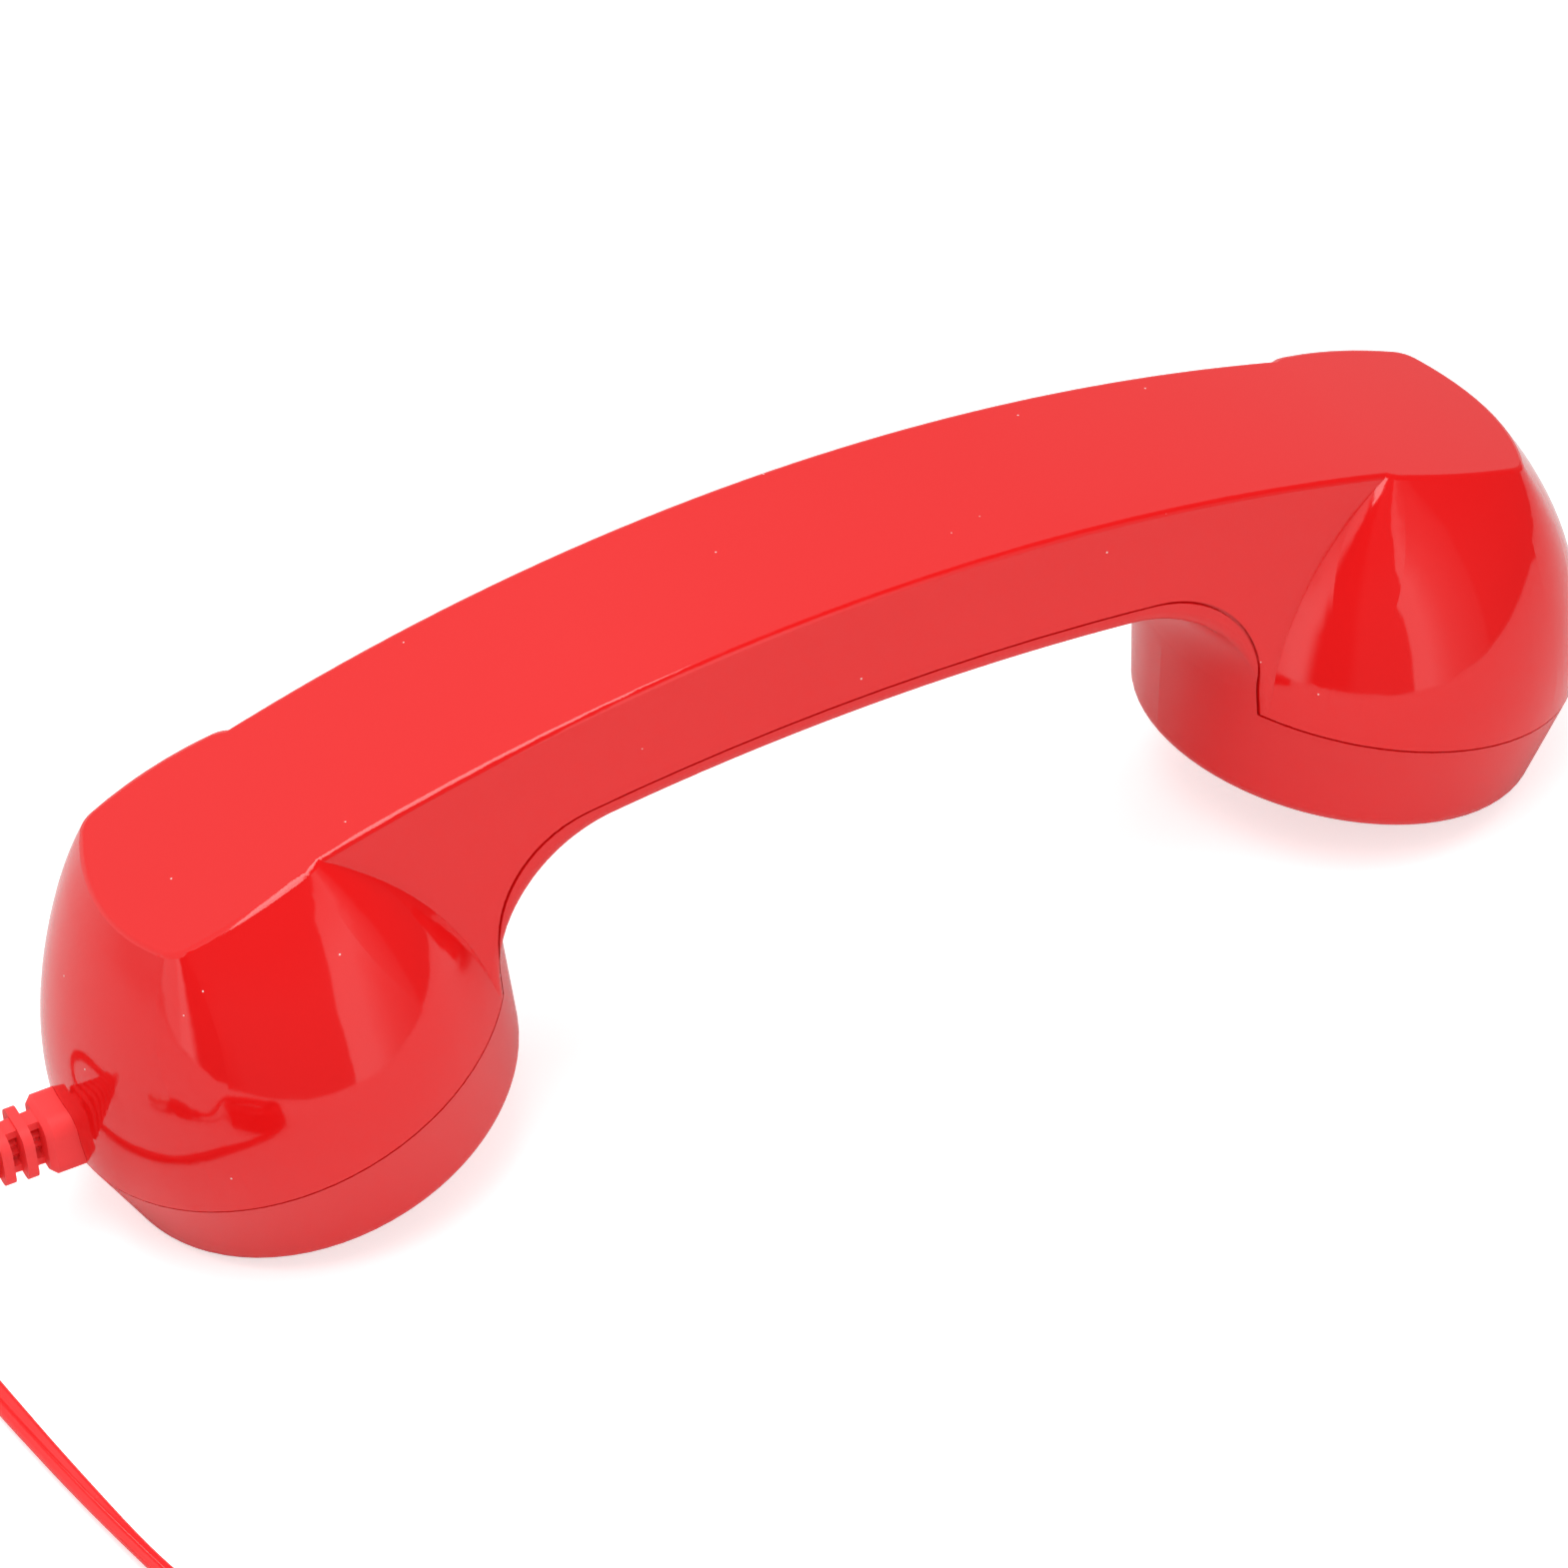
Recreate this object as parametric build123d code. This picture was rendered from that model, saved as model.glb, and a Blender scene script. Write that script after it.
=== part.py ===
from build123d import *
import os
from math import asin, atan2, cos, degrees, hypot, pi, radians, sin, sqrt, tan

# A retro telephone handset on a thin flat cord with a 3.5 mm plug.
# Millimetres. X runs along the handset, mouthpiece at -X and earpiece at +X, Z is up.
# The handset lies with both cups down: Z = 0 is the surface that the cup rims rest on.

# Handle: an arched strap, its back a cylinder about a line along Y
RIDGE_RADIUS = 274.5
RIDGE_RISE = 45.9
GRIP_DEPTH = 16.1
UNDER_RADIUS = 298.0
GRIP_HALF_WIDTH = 15.0
GRIP_WAIST = 1.8
GRIP_DRAFT = 5.7
RIDGE_EDGE = 0.7
GRIP_EDGE = 1.5
THROAT_RADIUS = 17.0
THROAT_REACH = 27.0

# Cups: a square-to-round dome over a tapered skirt, both tilted towards the middle
CUP_SPACING = 155.0
CUP_TILT = 15.6
CUP_RADIUS = 29.9
SKIRT_DEPTH = 14.2
SKIRT_TAPER = 2.9
FACE_EDGE = 2.2
DOME_TOP_X = 84.3
GRIP_SUNK = 4.3
DOME_TOP_HALF_LENGTH = 13.6
DOME_TOP_HALF_WIDTH = 15.5
DOME_CORNER = 3.0
DOME_END_BULGE = 2.5
DOME_SIDE_BULGE = 0.7
DOME_LEAN = 38.0
DOME_CORNER_SPREAD = 0.9
DOME_SECTIONS = 5
DOME_ROUND_ANGLES = (48.0, 62.0)
DOME_LIFT = 0.4
DOME_EDGE = 1.0

# Two mouldings, parted round the cups and along the handle's lower edge
WALL = 2.2
BAND = 2.6
THROAT_PARTING = 5.1
PARTING_RADIUS = 16.0
JOIN_TOLERANCE = 0.001
CUT_REACH = 125.0
CUT_WIDTH = 60.0
CUT_LOW = -20.0
GROOVE = 0.25
GROOVE_DEPTH = 0.6

# Cup faces: a perforated cap let into the rim, over a flange
RIM_WIDTH = 4.4
CAP_RECESS = 2.0
CAP_THICKNESS = 1.7
CAP_LAND = 3.6
CAP_POCKET = 0.5
CAP_EDGE = 0.5
CAP_HOLE_RADIUS = 1.0
CAP_HOLE_PITCH = 4.6
EAR_HOLE_RINGS = 3
MOUTH_HOLE_RINGS = 2
FLANGE = 1.6
CLOTH_THICKNESS = 0.3
FIT = 0.15

# Speaker in the ear cup
SPEAKER_RADIUS = 18.0
SPEAKER_LAND = 2.4
GASKET_THICKNESS = 0.8
BASKET_RIM = 1.0
BASKET_HEIGHT = 4.6
BASKET_LEDGE = 2.3
BASKET_WALL = 0.8
VENT_RADIUS = 1.1
SPEAKER_RING_WALL = 1.2
POT_WALL = 1.4
POT_HEIGHT = 4.8
MAGNET_RADIUS = 6.0
MAGNET_HEIGHT = 2.0
POLE_PLATE = 1.0
PLATE_OVERHANG = 0.2
COIL_GAP = 0.5
COIL_WALL = 0.5
COIL_HEIGHT = 2.6
COIL_RISE = 0.6
CONE_THICKNESS = 0.3
ROLL_DEPTH = 0.8
DUST_CAP_DEPTH = 1.2
TERMINAL_LENGTH = 6.0
TERMINAL_WIDTH = 9.0
TERMINAL_GAP = 0.2
TERMINAL_SOLDER = 3.4
BOARD = 1.0

# Microphone in the mouth cup
MIC_RADIUS = 4.85
MIC_HEIGHT = 5.2
BOOT_WALL = 1.3
BOOT_FLOOR = 0.8
MIC_PORT_RADIUS = 3.0
MIC_BOSS_WALL = 1.5
MIC_BOSS_HEIGHT = 5.0
MIC_BOARD_RADIUS = 7.2
CAPSULE_PORT_RADIUS = 0.9
CAPSULE_PORT_DEPTH = 0.5

# Answer button in the middle of the grip, and its switch
BUTTON_LENGTH = 15.0
BUTTON_WIDTH = 7.0
BUTTON_PROUD = 0.8
BUTTON_LIP = 1.2
BUTTON_LIP_HEIGHT = 1.0
BUTTON_EDGE = 0.5
BUTTON_GAP = 0.25
SEAT_GAP = 0.1
TRAVEL = 0.5
PLUNGER_RADIUS = 1.7
PLUNGER_SHOW = 1.2
SWITCH_WIDTH = 6.0
SWITCH_HEIGHT = 3.4
SWITCH_BORE_DEPTH = 2.4
SWITCH_CORNER = 0.6
BOARD_LENGTH = 28.0
BOARD_WIDTH = 12.0
BOARD_CORNER = 1.0
POST_X = 11.0
POST_RADIUS = 2.0
BOARD_SCREW_RADIUS = 0.8
BOARD_SCREW_DEPTH = 4.0
BOARD_SCREW_HEAD = 1.0

# Case screws in the grip
SCREW_X = 32.0
SCREW_RADIUS = 1.3
SCREW_HEAD_RADIUS = 2.5
SCREW_HEAD_HEIGHT = 1.8
SCREW_LENGTH = 9.0
SCREW_SUNK = 0.5
CROSS_LENGTH = 3.0
CROSS_WIDTH = 0.7
CROSS_DEPTH = 0.8
BOSS_RADIUS = 3.2
BOSS_MEET = 2.2

# Moulded strain relief at the mouth end
RELIEF_HEIGHT = 16.4
RELIEF_NECK = 6.0
RELIEF_FLANGE = 8.2
RELIEF_FLANGE_LENGTH = 1.6
COLLAR_SIZE = 8.8
COLLAR_LENGTH = 4.9
COLLAR_SUNK = 0.6
NECK_IN_COLLAR = 2.5
COLLAR_CORNER = 2.4
COLLAR_EDGE = 0.8
FLANGE_CORNER = 1.5
NECK_CORNER = 1.0
RING_SIZE = 7.8
RING_END_SIZE = 5.4
RING_LENGTH = 1.35
RING_PITCH = 2.95
RING_COUNT = 8
RING_ROUNDNESS = 0.27
BAR_WIDTH = 2.6
BAR_DEPTH = 1.1
BAR_SUNK = 0.35
ENTRY_REACH = 4.0
BORE_CLEARANCE = 0.02

# Flat cord of two bonded lobes, and the plain tube that stands for its free length
CORD_WIDTH = 3.0
CORD_THICKNESS = 1.5
TUBE_RADIUS = 1.4
CORD_ROUTE = [
    (-142.0, 0.0, 16.4),
    (-152.5, 1.5, 11.0),
    (-160.0, 5.5, 5.0),
    (-166.0, 13.0, 1.9),
    (-167.5, 24.0, 1.5),
    (-161.5, 34.0, 1.5),
    (-150.5, 37.5, 1.5),
    (-140.0, 32.5, 1.5),
    (-134.5, 21.5, 1.5),
    (-132.0, 8.0, 1.5),
    (-130.0, -8.0, 1.5),
    (-127.6, -24.2, 1.5),
    (-124.6, -41.0, 1.5),
    (-121.2, -58.5, 1.5),
    (-118.6, -70.5, 1.5),
]
CORD_JOIN = (-117.6, -86.0, 1.5)
COIL_CENTRE = (-133.5, -96.0)
COIL_MEAN_RADIUS = 16.5
COIL_BUILD = 9.8
COIL_STACK = 11.4
COIL_EDGE = 2.0
TAIL_JOIN = (-148.2, -86.0, 9.9)
TAIL_ROUTE = [
    (-149.3, -77.0, 9.3),
    (-150.9, -66.5, 3.6),
]
TIE_WIDTH = 8.0
TIE_THICKNESS = 0.9
TIE_ANGLE = -60.0

# Plug: four poles, 3.5 mm
PLUG_START = (-154.0, -56.0, 3.4)
PLUG_HEADING = 20.0
PLUG_LEAD = 4.0
PLUG_RADIUS = 1.75
PLUG_LENGTH = 14.0
PLUG_TIP_LENGTH = 3.2
PLUG_NECK_RADIUS = 1.15
PLUG_RING_LENGTH = 1.9
PLUG_GAP_LENGTH = 0.7
PLUG_CORE_RADIUS = 0.8
GRIP_RADIUS = 3.4
GRIP_LENGTH = 19.0
GRIP_TAIL_LENGTH = 9.0
GRIP_TAIL_RADIUS = 2.0
GRIP_RIB_COUNT = 4
GRIP_RIB_START = 1.6
GRIP_RIB_PITCH = 1.8
GRIP_RIB_WIDTH = 0.7
GRIP_RIB_CORE = 1.6

# Leads inside the handset
LEAD_RADIUS = 0.45
LEAD_SPACING = 1.3

# Worked-out sizes
cup_x = CUP_SPACING / 2
tilt = radians(CUP_TILT)
face_radius = CUP_RADIUS - SKIRT_TAPER
skirt_slope = SKIRT_TAPER / SKIRT_DEPTH
edge_in = FACE_EDGE * (sqrt(1 + skirt_slope ** 2) - skirt_slope)
cup_z = (face_radius - edge_in) * sin(tilt) + (SKIRT_DEPTH - FACE_EDGE) * cos(tilt) + FACE_EDGE
ridge_z = cup_z + RIDGE_RISE
under_z = ridge_z - GRIP_DEPTH
cap_radius = face_radius - RIM_WIDTH
plate_radius = MAGNET_RADIUS + PLATE_OVERHANG
coil_inner = plate_radius + COIL_GAP
coil_outer = coil_inner + COIL_WALL
pot_inner = coil_outer + COIL_GAP
pot_radius = pot_inner + POT_WALL
basket_base = pot_radius + BASKET_LEDGE
pocket_radius = cap_radius - CAP_LAND
flange_top = FLANGE + CAP_RECESS - SKIRT_DEPTH
draft = tan(radians(GRIP_DRAFT))
grip_reach = DOME_TOP_X - GRIP_SUNK
throat_x = cup_x - CUP_RADIUS * cos(tilt) + THROAT_PARTING


def ridge_height(x, inset=0.0):
    """Height of the handle's arched back at x, or of the same arc drawn in."""
    return ridge_z - RIDGE_RADIUS + sqrt((RIDGE_RADIUS - inset) ** 2 - x ** 2)


def under_height(x, inset=0.0):
    """Height of the handle's underside at x, or of the same arc drawn in."""
    return under_z - UNDER_RADIUS + sqrt((UNDER_RADIUS + inset) ** 2 - x ** 2)


def cup_plane(side, height=0.0):
    """The cup's own plane: X towards the handle's middle, Z up the cup's axis."""
    up = (side * sin(tilt), 0, cos(tilt))
    origin = (side * cup_x + up[0] * height, 0, cup_z + up[2] * height)
    return Plane(origin=origin, x_dir=(-side * cos(tilt), 0, sin(tilt)), z_dir=up)


def side_face(*edges):
    """A face in the XZ plane, from edges drawn with x along X and y along Z."""
    return Plane.XZ * make_face(Curve() + list(edges))


def turned(points):
    """A solid of revolution about Z, from its half section as (radius, height) points."""
    return revolve(Plane.XZ * make_face(Polyline(*points, close=True)), Axis.Z)


def slab(inset):
    """Everything over the underside arc, wider, longer and higher than the handle."""
    reach = cup_x + CUP_RADIUS
    low, high = under_height(reach, inset), ridge_z + GRIP_DEPTH
    face = side_face(
        Line((-reach, high), (reach, high)),
        Line((reach, high), (reach, low)),
        ThreePointArc((reach, low), (0, under_z + inset), (-reach, low)),
        Line((-reach, low), (-reach, high)),
    )
    return extrude(face, 2 * GRIP_HALF_WIDTH, both=True)


def plan_face(z, inset):
    """The handle's waisted outline in plan at height z, wider further down."""
    middle = GRIP_HALF_WIDTH - inset + (ridge_z - z) * draft
    end = middle - GRIP_WAIST
    edges = Curve() + [
        ThreePointArc((-grip_reach, end), (0, middle), (grip_reach, end)),
        Line((grip_reach, end), (grip_reach, -end)),
        ThreePointArc((grip_reach, -end), (0, -middle), (-grip_reach, -end)),
        Line((-grip_reach, -end), (-grip_reach, end)),
    ]
    return Pos(0, 0, z) * make_face(edges)


def throat_cone(side, inset):
    """The skirt's cone carried on upwards, to where the handle's underside meets it."""
    low = CUP_RADIUS - inset * sqrt(1 + skirt_slope ** 2)
    high = low + THROAT_REACH * skirt_slope
    frustum = turned([(0, 0), (low, 0), (high, THROAT_REACH), (0, THROAT_REACH)])
    return cup_plane(side) * frustum


def grip_form(inset=0.0):
    """The handle with the throats that sweep down into both cups."""
    wide = slab(inset)
    for side in (-1, 1):
        wide += throat_cone(side, inset)
    outline = loft([plan_face(ridge_z + 2, inset), plan_face(0, inset)], ruled=True)
    form = wide & (outline & slab_below(inset))
    throats = [e for e in form.edges() if abs((e @ 0.5).Y) < 1 and below_ridge(e) and on_throat(e)]
    return fillet(throats, THROAT_RADIUS + inset)


def below_ridge(edge):
    """Whether an edge lies lower than the ridge and what is rounded with it."""
    middle = edge @ 0.5
    return middle.Z < ridge_height(middle.X) - 4


def on_throat(edge):
    """Whether an edge crosses where the handle's underside meets a skirt's cone."""
    middle = edge @ 0.5
    return abs(middle.X) < cup_x - CUP_RADIUS / 2 and middle.Z > cup_z + CUP_RADIUS / 2


def rounded_grip():
    """The handle's outer form with its ridge and its lower edges rounded."""
    form = grip_form()

    def above_cup(edge):
        plane = cup_plane(1 if edge.center().X > 0 else -1)
        return plane.to_local_coords(edge.center()).Z > 0.5

    def along_side(edge):
        return abs(edge.center().Y) > 10 and abs(edge.center().X) < grip_reach - 2

    form = fillet([e for e in form.edges() if along_side(e) and below_ridge(e) and above_cup(e)], GRIP_EDGE)
    ridges = [e for e in form.edges() if e.length > grip_reach and not below_ridge(e)]
    return fillet(ridges, RIDGE_EDGE)


def dome_section(share, inset):
    """One section of the dome: four corners and four bowed sides, all tangent.

    share is 0 at the round parting line and 1 at the flat back.
    """
    lean = radians(DOME_LEAN)
    drawn = (1 - sqrt(1 - (share * sin(lean)) ** 2)) / (1 - cos(lean))
    radius = CUP_RADIUS - inset
    half_x = radius - (CUP_RADIUS - DOME_TOP_HALF_LENGTH) * drawn
    half_y = radius - (CUP_RADIUS - DOME_TOP_HALF_WIDTH) * drawn
    top_x = DOME_TOP_HALF_LENGTH - DOME_END_BULGE - DOME_CORNER
    top_y = DOME_TOP_HALF_WIDTH - DOME_SIDE_BULGE - DOME_CORNER
    spread = share ** DOME_CORNER_SPREAD
    centre_x, centre_y = top_x * spread, top_y * spread
    diagonal = radius - (CUP_RADIUS - hypot(top_x, top_y) - DOME_CORNER) * drawn
    corner = diagonal - hypot(centre_x, centre_y)
    if share == 0:
        angle_x, angle_y = (radians(angle) for angle in DOME_ROUND_ANGLES)
        side_x = side_y = radius
    else:
        bow_x = half_x - centre_x - corner
        bow_y = max(half_y - centre_y - corner, 0.01)
        side_x = (centre_y ** 2 + (half_x - centre_x) ** 2 - corner ** 2) / (2 * bow_x)
        side_y = (centre_x ** 2 + (half_y - centre_y) ** 2 - corner ** 2) / (2 * bow_y)
        angle_x = atan2(centre_y, centre_x - half_x + side_x)
        angle_y = atan2(centre_y - half_y + side_y, centre_x)
    near_end = (centre_x + corner * cos(angle_x), centre_y + corner * sin(angle_x))
    middle_angle = (angle_x + angle_y) / 2
    middle = (centre_x + corner * cos(middle_angle), centre_y + corner * sin(middle_angle))
    near_side = (centre_x + corner * cos(angle_y), centre_y + corner * sin(angle_y))

    def mirrored(point, sx, sy):
        return (point[0] * sx, point[1] * sy)

    edges = []
    corners = [(1, 1), (-1, 1), (-1, -1), (1, -1)]
    for index, (sx, sy) in enumerate(corners):
        ends = [mirrored(near_end, sx, sy), mirrored(near_side, sx, sy)]
        if sx * sy < 0:
            ends.reverse()
        edges.append(ThreePointArc(ends[0], mirrored(middle, sx, sy), ends[1]))
        next_sx, next_sy = corners[(index + 1) % 4]
        start = ends[1]
        if next_sy == sy:
            stop, peak = mirrored(near_side, next_sx, sy), (0, half_y * sy)
        else:
            stop, peak = mirrored(near_end, sx, next_sy), (half_x * sx, 0)
        edges.append(ThreePointArc(start, peak, stop))
    return Face(Wire([arc.edge() for arc in edges]))


def dome_form(side, inset=0.0):
    """The cup's dome, lofted from the parting circle to the square back, cut by the ridge arc."""
    top_tilt = asin(DOME_TOP_X / RIDGE_RADIUS)
    top_x = DOME_TOP_X + DOME_LIFT * sin(top_tilt)
    top_z = ridge_height(DOME_TOP_X) + DOME_LIFT * cos(top_tilt)
    sections = []
    for index in range(DOME_SECTIONS):
        share = index / (DOME_SECTIONS - 1)
        angle = tilt + (top_tilt - tilt) * share
        x = cup_x + (top_x - cup_x) * share
        z = cup_z + (top_z - cup_z) * share
        plane = Plane(
            origin=(side * x, 0, z),
            x_dir=(-side * cos(angle), 0, sin(angle)),
            z_dir=(side * sin(angle), 0, cos(angle)),
        )
        sections.append(plane * dome_section(share, inset))
    return loft(sections) & slab_below(inset)


def slab_below(inset):
    """Everything under the ridge arc."""
    reach = CUT_REACH
    top = ridge_height(reach, inset)
    face = side_face(
        ThreePointArc((-reach, top), (0, ridge_z - inset), (reach, top)),
        Line((reach, top), (reach, CUT_LOW)),
        Line((reach, CUT_LOW), (-reach, CUT_LOW)),
        Line((-reach, CUT_LOW), (-reach, top)),
    )
    return extrude(face, CUT_WIDTH, both=True)


def skirt_form(side):
    """The cup's tapered skirt, with the rounded edge that the handset rests on."""
    profile = make_face(Polyline(
        (0, 0), (CUP_RADIUS, 0), (face_radius, -SKIRT_DEPTH), (0, -SKIRT_DEPTH), close=True))
    outer = profile.vertices().sort_by_distance((face_radius, -SKIRT_DEPTH, 0))[0]
    profile = fillet(outer, FACE_EDGE)
    return cup_plane(side) * revolve(Plane.XZ * profile, Axis.Z)


def skirt_space(side):
    """The room inside the skirt, down to the face's flange."""
    inner = CUP_RADIUS - WALL * sqrt(1 + skirt_slope ** 2)
    above = 1.0
    return cup_plane(side) * turned([
        (0, above), (inner + above * skirt_slope, above),
        (inner + flange_top * skirt_slope, flange_top), (0, flange_top)])


def below_parting(drop=0.0):
    """Everything below the line where the two mouldings part."""
    corner_x = throat_x - drop
    reach = CUT_REACH
    corner_z = cup_z + (cup_x - throat_x) * tan(tilt) - drop
    far_z = cup_z + (cup_x - reach) * tan(tilt) - drop
    band_radius = UNDER_RADIUS + BAND - drop
    centre_z = under_z - UNDER_RADIUS
    band_z = centre_z + sqrt(band_radius ** 2 - corner_x ** 2)
    face = make_face(Curve() + [
        Line((-reach, far_z), (-corner_x, corner_z)),
        Line((-corner_x, corner_z), (-corner_x, band_z)),
        ThreePointArc((-corner_x, band_z), (0, centre_z + band_radius), (corner_x, band_z)),
        Line((corner_x, band_z), (corner_x, corner_z)),
        Line((corner_x, corner_z), (reach, far_z)),
        Line((reach, far_z), (reach, CUT_LOW)),
        Line((reach, CUT_LOW), (-reach, CUT_LOW)),
        Line((-reach, CUT_LOW), (-reach, far_z)),
    ])
    tops = [v for v in face.vertices() if abs(v.Y - band_z) < 0.01]
    face = fillet(tops, PARTING_RADIUS + drop)
    return extrude(Plane.XZ * face, CUT_WIDTH, both=True)


def obround(length, width, low, high):
    """An upright solid with round ends, long in X, between two heights."""
    return extrude(Pos(0, 0, low) * SlotOverall(length, width), high - low)


def post(x, radius, low, high, y=0.0):
    """An upright round post between two heights."""
    return Pos(x, y, low) * Cylinder(radius, high - low, align=(Align.CENTER, Align.CENTER, Align.MIN))


# Heights of the button and its switch, from the grip's lower wall upwards
seat_z = under_z + WALL + SEAT_GAP
lip_top = seat_z + BUTTON_LIP_HEIGHT
switch_low = lip_top + PLUNGER_SHOW
board_low = switch_low + SWITCH_HEIGHT
board_high = board_low + BOARD
screw_seat = under_height(SCREW_X) + SCREW_SUNK + SCREW_HEAD_HEIGHT
boss_meet = screw_seat + BOSS_MEET

dome_end = -cup_x - CUP_RADIUS * cos(tilt)


def relief_section(size, corner, x):
    """A rounded square across the strain relief's axis, at x."""
    plane = Plane(origin=(x, 0, RELIEF_HEIGHT), x_dir=(0, 1, 0), z_dir=(-1, 0, 0))
    return plane * RectangleRounded(size, size, corner)


def cord_section():
    """The flat cord's own section: two round lobes side by side, bonded by a thin web."""
    lobe = CORD_THICKNESS / 2
    offset = CORD_WIDTH / 2 - lobe
    web = Rectangle(2 * offset, CORD_THICKNESS * 0.55)
    return Pos(offset, 0) * Circle(lobe) + Pos(-offset, 0) * Circle(lobe) + web


relief_start = dome_end + COLLAR_SUNK
relief_end = relief_start - COLLAR_LENGTH - RING_COUNT * RING_PITCH
wall_inside = dome_end + WALL + 1.6
relief_inner = wall_inside + RELIEF_FLANGE_LENGTH


def back_shell():
    """The upper moulding: the handle's back and sides with both domes, one hollow shell."""
    domes = []
    for side in (-1, 1):
        dome = dome_form(side)
        rim = [e for e in dome.edges()
               if abs(e.center().Z - ridge_height(e.center().X)) < 0.8 and e.center().Z > under_z - 20]
        domes.append(fillet(rim, DOME_EDGE))
    shell = rounded_grip().fuse(*domes, tol=JOIN_TOLERANCE) - below_parting()
    shell -= grip_form(WALL)
    for side in (-1, 1):
        shell -= dome_form(side, WALL)
        shell -= cup_plane(side, -1.0) * Cylinder(
            CUP_RADIUS - WALL, 2.0, align=(Align.CENTER, Align.CENTER, Align.CENTER))
    for side in (-1, 1):
        x = side * SCREW_X
        shell += post(x, BOSS_RADIUS, boss_meet, ridge_height(SCREW_X) - WALL / 2)
        shell -= post(x, SCREW_RADIUS, boss_meet - 1, screw_seat + SCREW_LENGTH + 0.5)
    neck = RELIEF_NECK + 2 * FIT
    slot = Box(12, neck, neck / 2 + 8, align=(Align.CENTER, Align.CENTER, Align.MAX))
    shell -= Pos(dome_end + 2, 0, RELIEF_HEIGHT + neck / 2) * slot
    return shell


def parting_groove():
    """The shadow line round the parting: a thin band cut into the lower moulding's outside."""
    band = below_parting() - below_parting(GROOVE) - grip_form(GROOVE_DEPTH)
    for side in (-1, 1):
        band -= cup_plane(side) * Cylinder(CUP_RADIUS - GROOVE_DEPTH, 6)
    return band


def front_shell():
    """The lower moulding: both skirts, the throats and the handle's underside."""
    shell = rounded_grip() & below_parting()
    for side in (-1, 1):
        shell += skirt_form(side)
    shell -= grip_form(WALL)
    for side in (-1, 1):
        shell -= skirt_space(side)
        seat = cup_plane(side, CAP_RECESS - SKIRT_DEPTH)
        shell -= seat * Cylinder(
            cap_radius + FIT, 2 * CAP_RECESS, align=(Align.CENTER, Align.CENTER, Align.MAX))
    ear, mouth = cup_plane(1, flange_top), cup_plane(-1, flange_top)
    shell -= ear * Cylinder(SPEAKER_RADIUS - SPEAKER_LAND, 3 * FLANGE)
    boss_inner = MIC_RADIUS + BOOT_WALL + FIT / 2
    boss = Circle(boss_inner + MIC_BOSS_WALL) - Circle(boss_inner)
    shell += mouth * extrude(boss, MIC_BOSS_HEIGHT)
    shell -= mouth * Cylinder(MIC_PORT_RADIUS, 3 * FLANGE)
    ring_inner = SPEAKER_RADIUS + FIT
    ring = Circle(ring_inner + SPEAKER_RING_WALL) - Circle(ring_inner)
    shell += ear * extrude(ring, GASKET_THICKNESS + BASKET_RIM)
    shell -= obround(
        BUTTON_LENGTH + 2 * BUTTON_GAP, BUTTON_WIDTH + 2 * BUTTON_GAP, under_z - WALL, seat_z + WALL / 2)
    for side in (-1, 1):
        x = side * SCREW_X
        shell += post(x, BOSS_RADIUS, under_height(SCREW_X, WALL / 2), boss_meet)
        shell -= post(x, SCREW_HEAD_RADIUS + FIT, under_z - 10, screw_seat)
        shell -= post(x, SCREW_RADIUS + FIT, under_z - 10, boss_meet + 1)
        x = side * POST_X
        shell += post(x, POST_RADIUS, under_height(POST_X, WALL / 2), board_low)
        shell -= post(x, BOARD_SCREW_RADIUS, board_low - BOARD_SCREW_DEPTH, board_low + 1)
    return shell - parting_groove()


def cap(side, rings):
    """A perforated cap: a disc with rings of round holes and a pocket for its cloth."""
    face_z = CAP_RECESS - SKIRT_DEPTH
    disc = Cylinder(cap_radius, CAP_THICKNESS, align=(Align.CENTER, Align.CENTER, Align.MAX))
    disc = fillet(disc.edges().sort_by(Axis.Z)[0], CAP_EDGE)
    disc -= Cylinder(pocket_radius, 2 * CAP_POCKET)
    hole = Cylinder(CAP_HOLE_RADIUS, 4 * CAP_THICKNESS)
    holes = [hole]
    for ring in range(1, rings + 1):
        holes += PolarLocations(ring * CAP_HOLE_PITCH, 6 * ring) * hole
    disc -= holes
    return cup_plane(side, face_z) * disc


def cloth(side):
    """The disc of acoustic cloth behind the cap, glued to the flange."""
    disc = Cylinder(pocket_radius - 0.5, CLOTH_THICKNESS, align=(Align.CENTER, Align.CENTER, Align.MAX))
    return cup_plane(side, CAP_RECESS - SKIRT_DEPTH) * disc


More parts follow.
